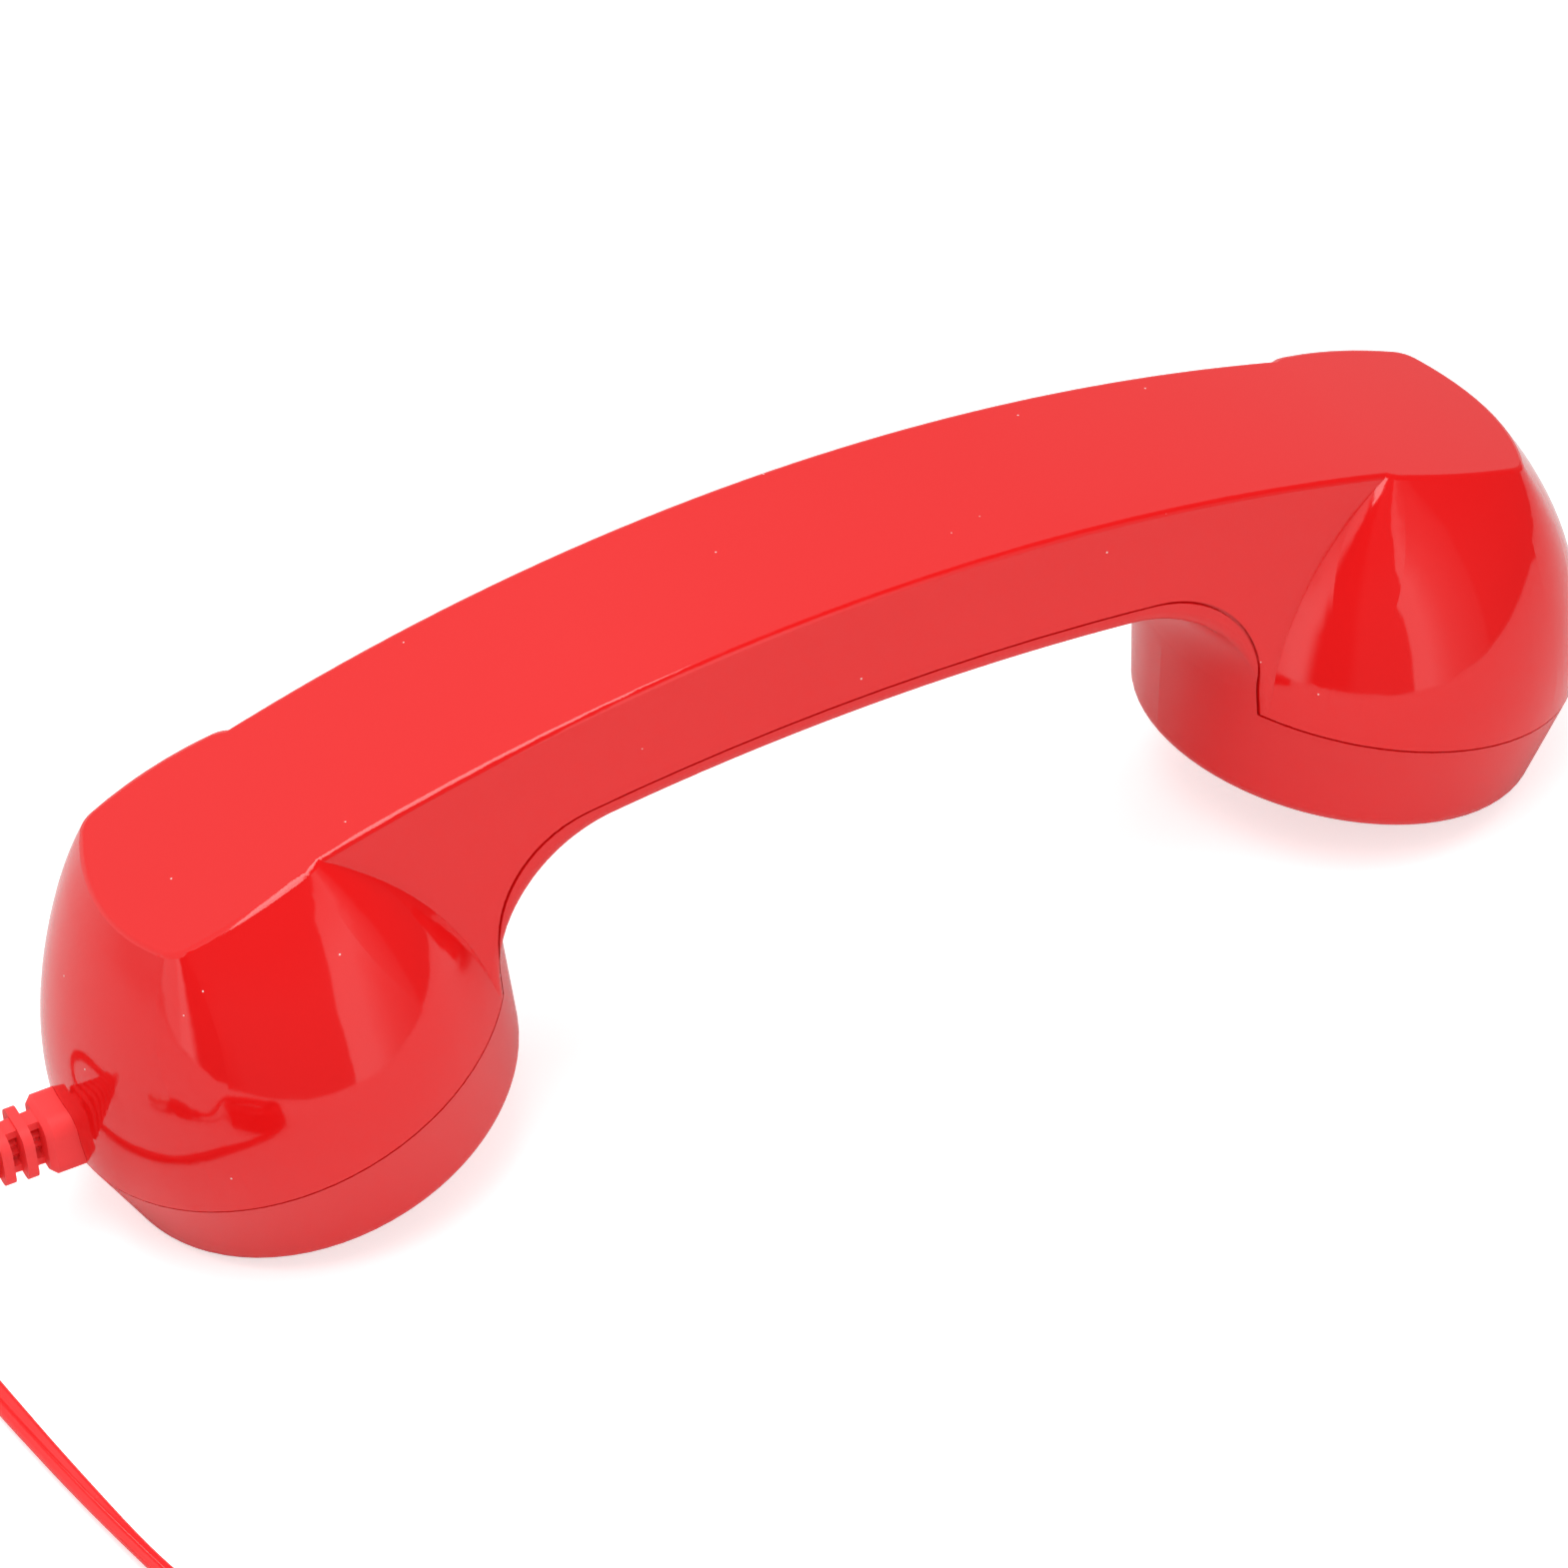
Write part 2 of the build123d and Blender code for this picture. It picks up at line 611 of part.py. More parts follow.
def speaker():
    """The moving-coil speaker, stacked upwards from the ear flange, as named pieces."""
    seat = cup_plane(1, flange_top)
    inner = SPEAKER_RADIUS - SPEAKER_LAND
    rim_low = GASKET_THICKNESS
    rim_high = rim_low + BASKET_RIM
    base_low = rim_low + BASKET_HEIGHT - BASKET_WALL
    base_high = rim_low + BASKET_HEIGHT
    pot_low = base_low
    pot_high = pot_low + POT_HEIGHT
    floor = pot_high - POT_WALL
    gasket = turned([(inner, 0), (SPEAKER_RADIUS, 0), (SPEAKER_RADIUS, rim_low), (inner, rim_low)])
    basket = turned([
        (inner, rim_low), (SPEAKER_RADIUS, rim_low), (SPEAKER_RADIUS, rim_high),
        (inner + BASKET_WALL, rim_high), (basket_base, base_high), (pot_radius, base_high),
        (pot_radius, base_low), (basket_base - BASKET_WALL / 2, base_low), (inner, rim_high)])
    vent = Rot(0, 90, 0) * Cylinder(VENT_RADIUS, 3 * basket_base)
    for turn in range(3):
        basket -= Pos(0, 0, (rim_high + base_low) / 2) * Rot(0, 0, 30 + 60 * turn) * vent
    yoke = turned([
        (pot_inner, pot_low), (pot_radius, pot_low), (pot_radius, pot_high), (0, pot_high),
        (0, floor), (pot_inner, floor)])
    magnet = post(0, MAGNET_RADIUS, floor - MAGNET_HEIGHT, floor)
    plate = post(0, plate_radius, floor - MAGNET_HEIGHT - POLE_PLATE, floor - MAGNET_HEIGHT)
    coil_low = floor - MAGNET_HEIGHT - COIL_HEIGHT + COIL_RISE
    coil = turned([
        (coil_inner, coil_low), (coil_outer, coil_low),
        (coil_outer, coil_low + COIL_HEIGHT), (coil_inner, coil_low + COIL_HEIGHT)])
    roll_inner = (coil_outer + inner) / 2
    roll_flat = (inner - roll_inner) / 4
    upper = [
        (inner, rim_high), (inner - roll_flat, rim_high - ROLL_DEPTH),
        (roll_inner + roll_flat, rim_high - ROLL_DEPTH), (roll_inner, rim_high), (coil_outer, coil_low),
        (coil_inner, coil_low), (coil_inner / 2, coil_low - DUST_CAP_DEPTH), (0, coil_low - DUST_CAP_DEPTH)]
    lower = [(r, z - CONE_THICKNESS) for r, z in reversed(upper)]
    cone = turned(upper + lower)
    board = Pos(pot_radius + TERMINAL_GAP, 0, base_high) * Box(
        TERMINAL_LENGTH, TERMINAL_WIDTH, BOARD, align=(Align.MIN, Align.CENTER, Align.MIN))
    board -= post(0, pot_radius + TERMINAL_GAP, base_high - 1, base_high + 2)
    pieces = {
        "speaker_gasket": gasket,
        "speaker_basket": basket,
        "speaker_cone": cone,
        "speaker_voice_coil": coil,
        "speaker_pole_plate": plate,
        "speaker_magnet": magnet,
        "speaker_yoke": yoke,
        "speaker_terminal_board": board,
    }
    return {name: seat * piece for name, piece in pieces.items()}


def microphone():
    """The microphone capsule in its rubber boot, with its small board on top."""
    seat = cup_plane(-1, flange_top)
    outer = MIC_RADIUS + BOOT_WALL
    top = BOOT_FLOOR + MIC_HEIGHT
    boot = turned([
        (MIC_PORT_RADIUS, 0), (outer, 0), (outer, top), (MIC_RADIUS, top),
        (MIC_RADIUS, BOOT_FLOOR), (MIC_PORT_RADIUS, BOOT_FLOOR)])
    capsule = post(0, MIC_RADIUS, BOOT_FLOOR, top)
    port = post(0, CAPSULE_PORT_RADIUS, BOOT_FLOOR - 1, BOOT_FLOOR + CAPSULE_PORT_DEPTH)
    board = post(0, MIC_BOARD_RADIUS, top, top + BOARD)
    return {
        "mic_boot": seat * boot,
        "mic_capsule": seat * (capsule - port),
        "mic_board": seat * board,
    }


def answer_button():
    """The answer button: an obround cap through the grip's wall, on a lip inside."""
    cap_low = under_z - BUTTON_PROUD
    body = obround(BUTTON_LENGTH, BUTTON_WIDTH, cap_low, seat_z)
    body = fillet(body.edges().group_by(Axis.Z)[0], BUTTON_EDGE)
    lip = obround(BUTTON_LENGTH + 2 * BUTTON_LIP, BUTTON_WIDTH + 2 * BUTTON_LIP, seat_z, lip_top)
    return body + lip


def switch_pieces():
    """The board over the button, with the tact switch that the button presses."""
    body = Pos(0, 0, switch_low) * Box(
        SWITCH_WIDTH, SWITCH_WIDTH, SWITCH_HEIGHT, align=(Align.CENTER, Align.CENTER, Align.MIN))
    body = fillet(body.edges().filter_by(Axis.Z), SWITCH_CORNER)
    body -= post(0, PLUNGER_RADIUS + FIT / 2, switch_low - 1, switch_low + SWITCH_BORE_DEPTH)
    plunger_top = switch_low + SWITCH_BORE_DEPTH - TRAVEL - FIT
    plunger = post(0, PLUNGER_RADIUS, lip_top, plunger_top)
    board = Pos(0, 0, board_low) * Box(
        BOARD_LENGTH, BOARD_WIDTH, BOARD, align=(Align.CENTER, Align.CENTER, Align.MIN))
    board = fillet(board.edges().filter_by(Axis.Z), BOARD_CORNER)
    screws = []
    for side in (-1, 1):
        board -= post(side * POST_X, BOARD_SCREW_RADIUS + FIT, board_low - 1, board_high + 1)
        shank = post(side * POST_X, BOARD_SCREW_RADIUS, board_low - BOARD_SCREW_DEPTH + 0.5, board_high)
        head = post(side * POST_X, 2 * BOARD_SCREW_RADIUS, board_high, board_high + BOARD_SCREW_HEAD)
        screws.append(shank + head)
    return {
        "switch_body": body,
        "switch_plunger": plunger,
        "switch_board": board,
        "board_screws": Compound(screws),
    }


def case_screws():
    """The two self-tapping screws that hold the mouldings together in the grip."""
    screws = []
    for side in (-1, 1):
        x = side * SCREW_X
        head = post(x, SCREW_HEAD_RADIUS, screw_seat - SCREW_HEAD_HEIGHT, screw_seat)
        recess = Pos(x, 0, screw_seat - SCREW_HEAD_HEIGHT)
        cross = recess * Box(CROSS_LENGTH, CROSS_WIDTH, 2 * CROSS_DEPTH)
        cross += recess * Box(CROSS_WIDTH, CROSS_LENGTH, 2 * CROSS_DEPTH)
        screws.append(head + post(x, SCREW_RADIUS, screw_seat, screw_seat + SCREW_LENGTH) - cross)
    return Compound(screws)


def strain_relief():
    """The moulded strain relief: neck, collar and a ladder of shrinking rings on two bars."""
    relief = extrude(relief_section(RELIEF_FLANGE, FLANGE_CORNER, relief_inner), RELIEF_FLANGE_LENGTH)
    relief += extrude(
        relief_section(RELIEF_NECK, NECK_CORNER, wall_inside), wall_inside - relief_start + NECK_IN_COLLAR)
    collar = extrude(relief_section(COLLAR_SIZE, COLLAR_CORNER, relief_start), COLLAR_LENGTH)
    collar = chamfer(collar.faces().sort_by(Axis.X)[0].edges(), COLLAR_EDGE)
    relief += collar - dome_form(-1) - skirt_form(-1)
    ring_start = relief_start - COLLAR_LENGTH
    for ring in range(RING_COUNT):
        share = ring / (RING_COUNT - 1)
        size = RING_SIZE + (RING_END_SIZE - RING_SIZE) * share
        x = ring_start - RING_PITCH * (ring + 1) + RING_LENGTH
        relief += extrude(relief_section(size, size * RING_ROUNDNESS, x), RING_LENGTH)
    bar_far = RING_END_SIZE / 2 - BAR_SUNK
    bar_near = RING_SIZE / 2 - BAR_SUNK
    for way in (-1, 1):
        ends = []
        for x, reach in ((ring_start + 0.5, bar_near), (relief_end, bar_far)):
            plane = Plane(origin=(x, 0, RELIEF_HEIGHT + way * (reach - BAR_DEPTH / 2)),
                          x_dir=(0, 1, 0), z_dir=(-1, 0, 0))
            ends.append(plane * Rectangle(BAR_WIDTH, BAR_DEPTH))
        relief += loft(ends, ruled=True)
    bore = Rectangle(CORD_THICKNESS + BORE_CLEARANCE, CORD_WIDTH + BORE_CLEARANCE)
    plane = Plane(origin=(relief_inner + 1, 0, RELIEF_HEIGHT), x_dir=(0, 1, 0), z_dir=(-1, 0, 0))
    relief -= extrude(plane * bore, relief_inner + 2 - relief_end)
    return relief


def cord_entry():
    """The flat cord's straight stretch inside the strain relief, standing on edge."""
    plane = Plane(origin=(relief_inner + ENTRY_REACH, 0, RELIEF_HEIGHT), x_dir=(0, 0, 1), z_dir=(-1, 0, 0))
    return extrude(plane * cord_section(), relief_inner + ENTRY_REACH - relief_end)


def bend_radii(points):
    """Each corner's radius: 0.45 of the shorter run over the tangent of half the turn."""
    radii = []
    for before, corner, after in zip(points, points[1:], points[2:]):
        first, second = Vector(*corner) - Vector(*before), Vector(*after) - Vector(*corner)
        turn = radians(first.get_angle(second))
        radii.append(0.45 * min(first.length, second.length) / tan(turn / 2))
    return radii


def tube(points, radius, label):
    """A round tube along straight runs joined by tangent arcs."""
    radii = bend_radii(points)
    path = FilletPolyline(*points, radius=radii)
    start = Plane(origin=points[0], z_dir=Vector(*points[1]) - Vector(*points[0]))
    solid = sweep(start * Circle(radius), path=path)
    length = path.length
    print(label, "length %.1f" % length, "least radius %.1f" % min(radii),
          "volume ratio %.4f" % (solid.volume / (pi * radius ** 2 * length)))
    return solid


def coil_section(inset, corner):
    """The coil's section with cut corners, or one drawn in from it, at the turns' mean radius."""
    shape = Rectangle(COIL_BUILD - 2 * inset, COIL_STACK - 2 * inset)
    return Pos(COIL_MEAN_RADIUS, COIL_STACK / 2) * chamfer(shape.vertices(), corner)


def coil_arc(section, arc, middle):
    """A section swept round the coil's axis, its arc centred on an angle."""
    solid = revolve(Plane.XZ * section, Axis.Z, revolution_arc=arc)
    return Pos(COIL_CENTRE[0], COIL_CENTRE[1], 0) * Rot(0, 0, middle - arc / 2) * solid


def coil_ring():
    """The put-away coil's outer shape: a flat ring, drawn in where its tie goes round it."""
    open_arc = degrees((TIE_WIDTH + 2 * FIT) / COIL_MEAN_RADIUS)
    full = coil_arc(coil_section(0, COIL_EDGE), 360 - open_arc, TIE_ANGLE + 180)
    core = coil_arc(coil_section(TIE_THICKNESS + FIT, COIL_EDGE / 2), 360, TIE_ANGLE)
    return full + core


def coil_tie():
    """The strap that holds the coil, its underside level with the coil's."""
    outer = coil_section(-FIT, COIL_EDGE) & Pos(COIL_MEAN_RADIUS, COIL_STACK) * Rectangle(
        2 * COIL_BUILD, 2 * COIL_STACK)
    section = outer - coil_section(TIE_THICKNESS, COIL_EDGE / 2 + FIT)
    return coil_arc(section, degrees(TIE_WIDTH / COIL_MEAN_RADIUS), TIE_ANGLE)


def cord_pieces():
    """The cord's free length: tube, coil, tail to the plug, and the coil's tie."""
    coil = coil_ring()
    route = [(relief_end, 0, RELIEF_HEIGHT)] + CORD_ROUTE + [CORD_JOIN]
    lead_in = tube(route, TUBE_RADIUS, "cord")
    tail_route = [TAIL_JOIN] + TAIL_ROUTE + [tuple(plug_plane(-PLUG_LEAD).origin), PLUG_START]
    tail = tube(tail_route, TUBE_RADIUS, "tail")
    return {
        "cord": lead_in - coil,
        "cord_coil": coil,
        "cord_tail": tail - coil,
        "cord_tie": coil_tie(),
    }


def plug_plane(distance=0.0):
    """A plane across the plug, at a distance along it from the back of its tail."""
    heading = radians(PLUG_HEADING)
    along = Vector(-sin(heading), cos(heading), 0)
    return Plane(
        origin=Vector(*PLUG_START) + along * distance, x_dir=(cos(heading), sin(heading), 0), z_dir=along)


def plug_pieces():
    """The four-pole plug: ribbed grip, and tip, rings and sleeve with insulators between."""
    start = plug_plane()
    body_end = GRIP_TAIL_LENGTH + GRIP_LENGTH
    grip = turned([
        (0, 0), (GRIP_TAIL_RADIUS, 0), (GRIP_TAIL_RADIUS + 0.5, GRIP_TAIL_LENGTH),
        (GRIP_RADIUS - 0.6, GRIP_TAIL_LENGTH), (GRIP_RADIUS, GRIP_TAIL_LENGTH + 1.2),
        (GRIP_RADIUS, body_end - 1.0), (GRIP_RADIUS - 1.0, body_end), (0, body_end)])
    for rib in range(GRIP_RIB_COUNT):
        low = GRIP_RIB_START + rib * GRIP_RIB_PITCH
        high = low + GRIP_RIB_WIDTH
        grip -= turned([(GRIP_RIB_CORE, low), (GRIP_RADIUS, low), (GRIP_RADIUS, high), (GRIP_RIB_CORE, high)])
    tip_end = body_end + PLUG_LENGTH
    tip_start = tip_end - PLUG_TIP_LENGTH
    core = PLUG_CORE_RADIUS
    tip = turned([
        (0, tip_start), (PLUG_RADIUS, tip_start), (PLUG_RADIUS, tip_start + 0.4),
        (PLUG_NECK_RADIUS, tip_start + 1.1), (PLUG_RADIUS - 0.1, tip_start + 1.9),
        (0.5, tip_end), (0, tip_end)])
    rings, gaps = [], []
    low = tip_start
    for pole in range(2):
        gaps.append((low - PLUG_GAP_LENGTH, low))
        low -= PLUG_GAP_LENGTH
        rings.append((low - PLUG_RING_LENGTH, low))
        low -= PLUG_RING_LENGTH
    gaps.append((low - PLUG_GAP_LENGTH, low))
    sleeve_end = low - PLUG_GAP_LENGTH

    def collar(span):
        return turned([(core, span[0]), (PLUG_RADIUS, span[0]), (PLUG_RADIUS, span[1]), (core, span[1])])

    insulators = [collar(span) for span in gaps]
    core_rod = post(0, core, body_end, tip_start)
    return {
        "plug_grip": start * grip,
        "plug_sleeve": start * collar((body_end, sleeve_end)),
        "plug_rings": Compound([start * collar(span) for span in rings]),
        "plug_tip": start * (tip + core_rod),
        "plug_insulators": Compound([start * piece for piece in insulators]),
    }


def lead_pair(points):
    """Two insulated wires side by side along one route."""
    wires = []
    for way in (-1, 1):
        moved = [(x, y + way * LEAD_SPACING / 2, z) for x, y, z in points]
        radii = [min(r, 6.0) for r in bend_radii(moved)]
        path = FilletPolyline(*moved, radius=radii)
        start = Plane(origin=moved[0], z_dir=Vector(*moved[1]) - Vector(*moved[0]))
        wires.append(sweep(start * Circle(LEAD_RADIUS), path=path))
    return Compound(wires)


def place(side, x, y, height):
    """A point of a cup, given in the cup's own plane, as row coordinates."""
    return tuple(cup_plane(side).from_local_coords(Vector(x, y, height)))


def leads():
    """The leads inside: speaker to board, board to microphone, microphone to cord."""
    terminal = flange_top + GASKET_THICKNESS + BASKET_HEIGHT + BOARD
    speaker_end = place(1, pot_radius + TERMINAL_SOLDER, 2.0, terminal)
    speaker_up = place(1, pot_radius + TERMINAL_SOLDER, 2.0, terminal + 5)
    mic_top = flange_top + BOOT_FLOOR + MIC_HEIGHT + BOARD
    mic_end = place(-1, 4.0, 2.0, mic_top)
    mic_up = place(-1, 4.0, 2.0, mic_top + 5)
    board_end = BOARD_LENGTH / 2 - 1.5
    wire_z = board_high + LEAD_RADIUS
    to_speaker = [
        speaker_end, speaker_up, (58.0, 6.4, ridge_height(58) - 18.0), (46.0, 7.0, ridge_height(46) - 7.0),
        (board_end + 8, 6.2, wire_z + 0.6), (board_end, 4.0, wire_z)]
    to_mic = [
        mic_end, mic_up, (-60.0, 6.4, ridge_height(60) - 18.0), (-46.0, 7.0, ridge_height(46) - 7.0),
        (-board_end - 8, 6.2, wire_z + 0.6), (-board_end, 4.0, wire_z)]
    cord_start = relief_inner + ENTRY_REACH
    cord_end = place(-1, -4.0, 0, mic_top)
    cord_up = place(-1, -4.0, 0, mic_top + 3)
    to_cord = [
        cord_end, cord_up, (cord_start + 6, 0, RELIEF_HEIGHT), (cord_start, 0, RELIEF_HEIGHT)]
    return {
        "speaker_leads": lead_pair(to_speaker),
        "mic_leads": lead_pair(to_mic),
        "cord_cores": lead_pair(to_cord),
    }


os.makedirs("parts", exist_ok=True)

nodes = {
    "back_shell": back_shell(),
    "front_shell": front_shell(),
    "ear_cap": cap(1, EAR_HOLE_RINGS),
    "mouth_cap": cap(-1, MOUTH_HOLE_RINGS),
    "ear_cloth": cloth(1),
    "mouth_cloth": cloth(-1),
    "answer_button": answer_button(),
    "case_screws": case_screws(),
    "strain_relief": strain_relief(),
    "cord_entry": cord_entry(),
}
nodes.update(speaker())
nodes.update(microphone())
nodes.update(switch_pieces())
nodes.update(leads())
nodes.update(cord_pieces())
nodes.update(plug_pieces())

for name, shape in nodes.items():
    export_step(shape, "parts/" + name + ".step")
    print(name, len(shape.solids()), "%.1f" % shape.volume)
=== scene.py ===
# Telephone handset: camera, finishes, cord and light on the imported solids
import bpy
import bmesh
import math
from mathutils import Euler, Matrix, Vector


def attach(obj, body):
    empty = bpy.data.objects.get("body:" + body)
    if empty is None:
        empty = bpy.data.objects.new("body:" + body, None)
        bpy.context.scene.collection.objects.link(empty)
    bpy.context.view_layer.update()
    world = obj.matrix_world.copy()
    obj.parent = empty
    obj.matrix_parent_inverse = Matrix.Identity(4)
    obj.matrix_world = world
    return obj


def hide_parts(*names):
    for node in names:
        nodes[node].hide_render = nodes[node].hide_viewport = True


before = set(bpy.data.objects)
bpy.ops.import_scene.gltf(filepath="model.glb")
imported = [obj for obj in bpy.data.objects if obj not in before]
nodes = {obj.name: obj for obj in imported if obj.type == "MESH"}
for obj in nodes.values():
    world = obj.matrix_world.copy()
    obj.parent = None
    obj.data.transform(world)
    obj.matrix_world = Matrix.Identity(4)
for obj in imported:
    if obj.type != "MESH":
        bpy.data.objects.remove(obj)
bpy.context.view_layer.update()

scene = bpy.context.scene

# Camera: from the mouthpiece's corner, about 40 degrees above the table, with a long lens.
lens = bpy.data.cameras.new("camera")
lens.lens = 149.14
lens.sensor_width = 36.0
lens.clip_start = 0.05
lens.clip_end = 20.0
camera = bpy.data.objects.new("camera", lens)
scene.collection.objects.link(camera)
camera.location = (-0.26310, -0.58466, 0.55744)
camera.rotation_euler = Euler((math.radians(50.300), math.radians(3.406), math.radians(-26.536)))
scene.camera = camera


# Back shell: the handle's back and sides with both domes, one injection moulding in red ABS.
# The mould was polished, so the surface is like glass, with the faint waviness that shrinkage
# leaves over the ribs and a few pale grains of dust, a quarter of a millimetre across.
def srgb(code):
    """An sRGB hex colour as the linear values that a shader takes."""
    shares = [int(code[start:start + 2], 16) / 255 for start in (1, 3, 5)]
    return [share / 12.92 if share <= 0.04045 else ((share + 0.055) / 1.055) ** 2.4
            for share in shares] + [1.0]


def add(tree, kind, settings=None, **sockets):
    """Adds a node, sets its own settings, and gives each named socket a value or a link."""
    node = tree.nodes.new("ShaderNode" + kind)
    for name, value in (settings or {}).items():
        setattr(node, name, value)
    for name, value in sockets.items():
        place = int(name[1:]) if name[0] == "n" and name[1:].isdigit() else name.replace("_", " ")
        if isinstance(value, bpy.types.NodeSocket):
            tree.links.new(value, node.inputs[place])
        else:
            node.inputs[place].default_value = value
    return node


def finish(name):
    """A new material with its tree, its shader and the object's own coordinates in metres."""
    material = bpy.data.materials.new(name)
    material.use_nodes = True
    tree = material.node_tree
    place = add(tree, "TexCoord").outputs["Object"]
    return material, tree, tree.nodes["Principled BSDF"], place


def wear(material, *names):
    """Gives carried-over solids their finish."""
    for name in names:
        mesh = nodes[name].data
        mesh.materials.clear()
        mesh.materials.append(material)


gloss_abs, tree, shader, place = finish("polished_red_abs")
shade = add(tree, "TexNoise", Vector=place, Scale=24.0, Detail=2.0)
colour = add(tree, "ValToRGB", Fac=shade.outputs["Fac"])
colour.color_ramp.elements[0].color = srgb("#EA1213")
colour.color_ramp.elements[1].color = srgb("#ED1516")
dust = add(tree, "TexVoronoi", Vector=place, Scale=190.0)
grain = add(tree, "Math", {"operation": "LESS_THAN"}, n0=dust.outputs["Distance"], n1=0.023)
dusty = add(tree, "MixRGB", Fac=grain.outputs["Value"], Color1=colour.outputs["Color"],
            Color2=srgb("#F6DCD8"))
tree.links.new(dusty.outputs["Color"], shader.inputs["Base Color"])
wave = add(tree, "TexNoise", Vector=place, Scale=60.0, Detail=1.0)
bump = add(tree, "Bump", Strength=0.05, Distance=0.0002, Height=wave.outputs["Fac"])
tree.links.new(bump.outputs["Normal"], shader.inputs["Normal"])
smear = add(tree, "TexNoise", Vector=place, Scale=35.0, Detail=3.0)
gloss = add(tree, "MapRange", Value=smear.outputs["Fac"], To_Min=0.055, To_Max=0.085)
tree.links.new(gloss.outputs["Result"], shader.inputs["Roughness"])
shader.inputs["IOR"].default_value = 1.53
wear(gloss_abs, "back_shell")

# Front shell: the lower moulding with both skirts, the throats and the handle's underside, in
# the same red ABS from a mould that was blasted fine, so light spreads wider on it.
satin_abs, tree, shader, place = finish("satin_red_abs")
shade = add(tree, "TexNoise", Vector=place, Scale=24.0, Detail=2.0)
colour = add(tree, "ValToRGB", Fac=shade.outputs["Fac"])
colour.color_ramp.elements[0].color = srgb("#E61416")
colour.color_ramp.elements[1].color = srgb("#EA1719")
tree.links.new(colour.outputs["Color"], shader.inputs["Base Color"])
blast = add(tree, "TexNoise", Vector=place, Scale=3500.0, Detail=1.0)
bump = add(tree, "Bump", Strength=0.12, Distance=0.00002, Height=blast.outputs["Fac"])
tree.links.new(bump.outputs["Normal"], shader.inputs["Normal"])
gloss = add(tree, "MapRange", Value=shade.outputs["Fac"], To_Min=0.20, To_Max=0.26)
tree.links.new(gloss.outputs["Result"], shader.inputs["Roughness"])
shader.inputs["IOR"].default_value = 1.53
wear(satin_abs, "front_shell")

# Ear and mouth caps and the answer button: small red ABS mouldings with a fine spark-eroded
# grain, which spreads the light and hides finger marks.
grained_abs, tree, shader, place = finish("grained_red_abs")
shade = add(tree, "TexNoise", Vector=place, Scale=40.0, Detail=2.0)
colour = add(tree, "ValToRGB", Fac=shade.outputs["Fac"])
colour.color_ramp.elements[0].color = srgb("#D2181A")
colour.color_ramp.elements[1].color = srgb("#D91B1D")
tree.links.new(colour.outputs["Color"], shader.inputs["Base Color"])
erosion = add(tree, "TexNoise", Vector=place, Scale=2200.0, Detail=2.0)
bump = add(tree, "Bump", Strength=0.25, Distance=0.00004, Height=erosion.outputs["Fac"])
tree.links.new(bump.outputs["Normal"], shader.inputs["Normal"])
gloss = add(tree, "MapRange", Value=erosion.outputs["Fac"], To_Min=0.32, To_Max=0.45)
tree.links.new(gloss.outputs["Result"], shader.inputs["Roughness"])
shader.inputs["IOR"].default_value = 1.53
wear(grained_abs, "ear_cap", "mouth_cap", "answer_button")

# Acoustic cloths: discs of fine black polyester weave, cut with a die and glued behind the
# caps' holes to keep dust out. The threads are 0.25 mm apart.
acoustic_cloth, tree, shader, place = finish("black_acoustic_cloth")
wave_spacing = 2 * math.pi / 20  # between a wave texture's bands, at a scale of 1
thread_spacing = 0.00025
thread_scale = wave_spacing / thread_spacing
warp = add(tree, "TexWave", {"bands_direction": "X"}, Vector=place, Scale=thread_scale)
weft = add(tree, "TexWave", {"bands_direction": "Y"}, Vector=place, Scale=thread_scale)
weave = add(tree, "Math", {"operation": "MAXIMUM"}, n0=warp.outputs["Fac"], n1=weft.outputs["Fac"])
colour = add(tree, "ValToRGB", Fac=weave.outputs["Value"])
colour.color_ramp.elements[0].color = srgb("#101011")
colour.color_ramp.elements[1].color = srgb("#2B2B2D")
tree.links.new(colour.outputs["Color"], shader.inputs["Base Color"])
bump = add(tree, "Bump", Strength=0.5, Distance=0.00008, Height=weave.outputs["Value"])
tree.links.new(bump.outputs["Normal"], shader.inputs["Normal"])
shader.inputs["Roughness"].default_value = 0.85
shader.inputs["Sheen Weight"].default_value = 0.2
for node_name in ("ear_cloth", "mouth_cloth"):
    mesh = bmesh.new()
    mesh.from_mesh(nodes[node_name].data)
    bmesh.ops.remove_doubles(mesh, verts=mesh.verts, dist=0.000005)
    cloth_data = bpy.data.meshes.new("woven_" + node_name)
    mesh.to_mesh(cloth_data)
    mesh.free()
    cloth_data.materials.append(acoustic_cloth)
    cloth = bpy.data.objects.new("woven_" + node_name, cloth_data)
    scene.collection.objects.link(cloth)
    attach(cloth, "handset")
    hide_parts(node_name)

# Case screws and board screws: pan-head thread-forming screws in zinc-plated steel. Plating
# leaves a cool grey with faint clouds and a turned grain.
zinc_steel, tree, shader, place = finish("zinc_plated_steel")
cloud = add(tree, "TexNoise", Vector=place, Scale=900.0, Detail=3.0)
colour = add(tree, "ValToRGB", Fac=cloud.outputs["Fac"])
colour.color_ramp.elements[0].color = srgb("#A9ACAF")
colour.color_ramp.elements[1].color = srgb("#C9CBCC")
tree.links.new(colour.outputs["Color"], shader.inputs["Base Color"])
shader.inputs["Metallic"].default_value = 1.0
gloss = add(tree, "MapRange", Value=cloud.outputs["Fac"], To_Min=0.28, To_Max=0.42)
tree.links.new(gloss.outputs["Result"], shader.inputs["Roughness"])
wear(zinc_steel, "case_screws", "board_screws")

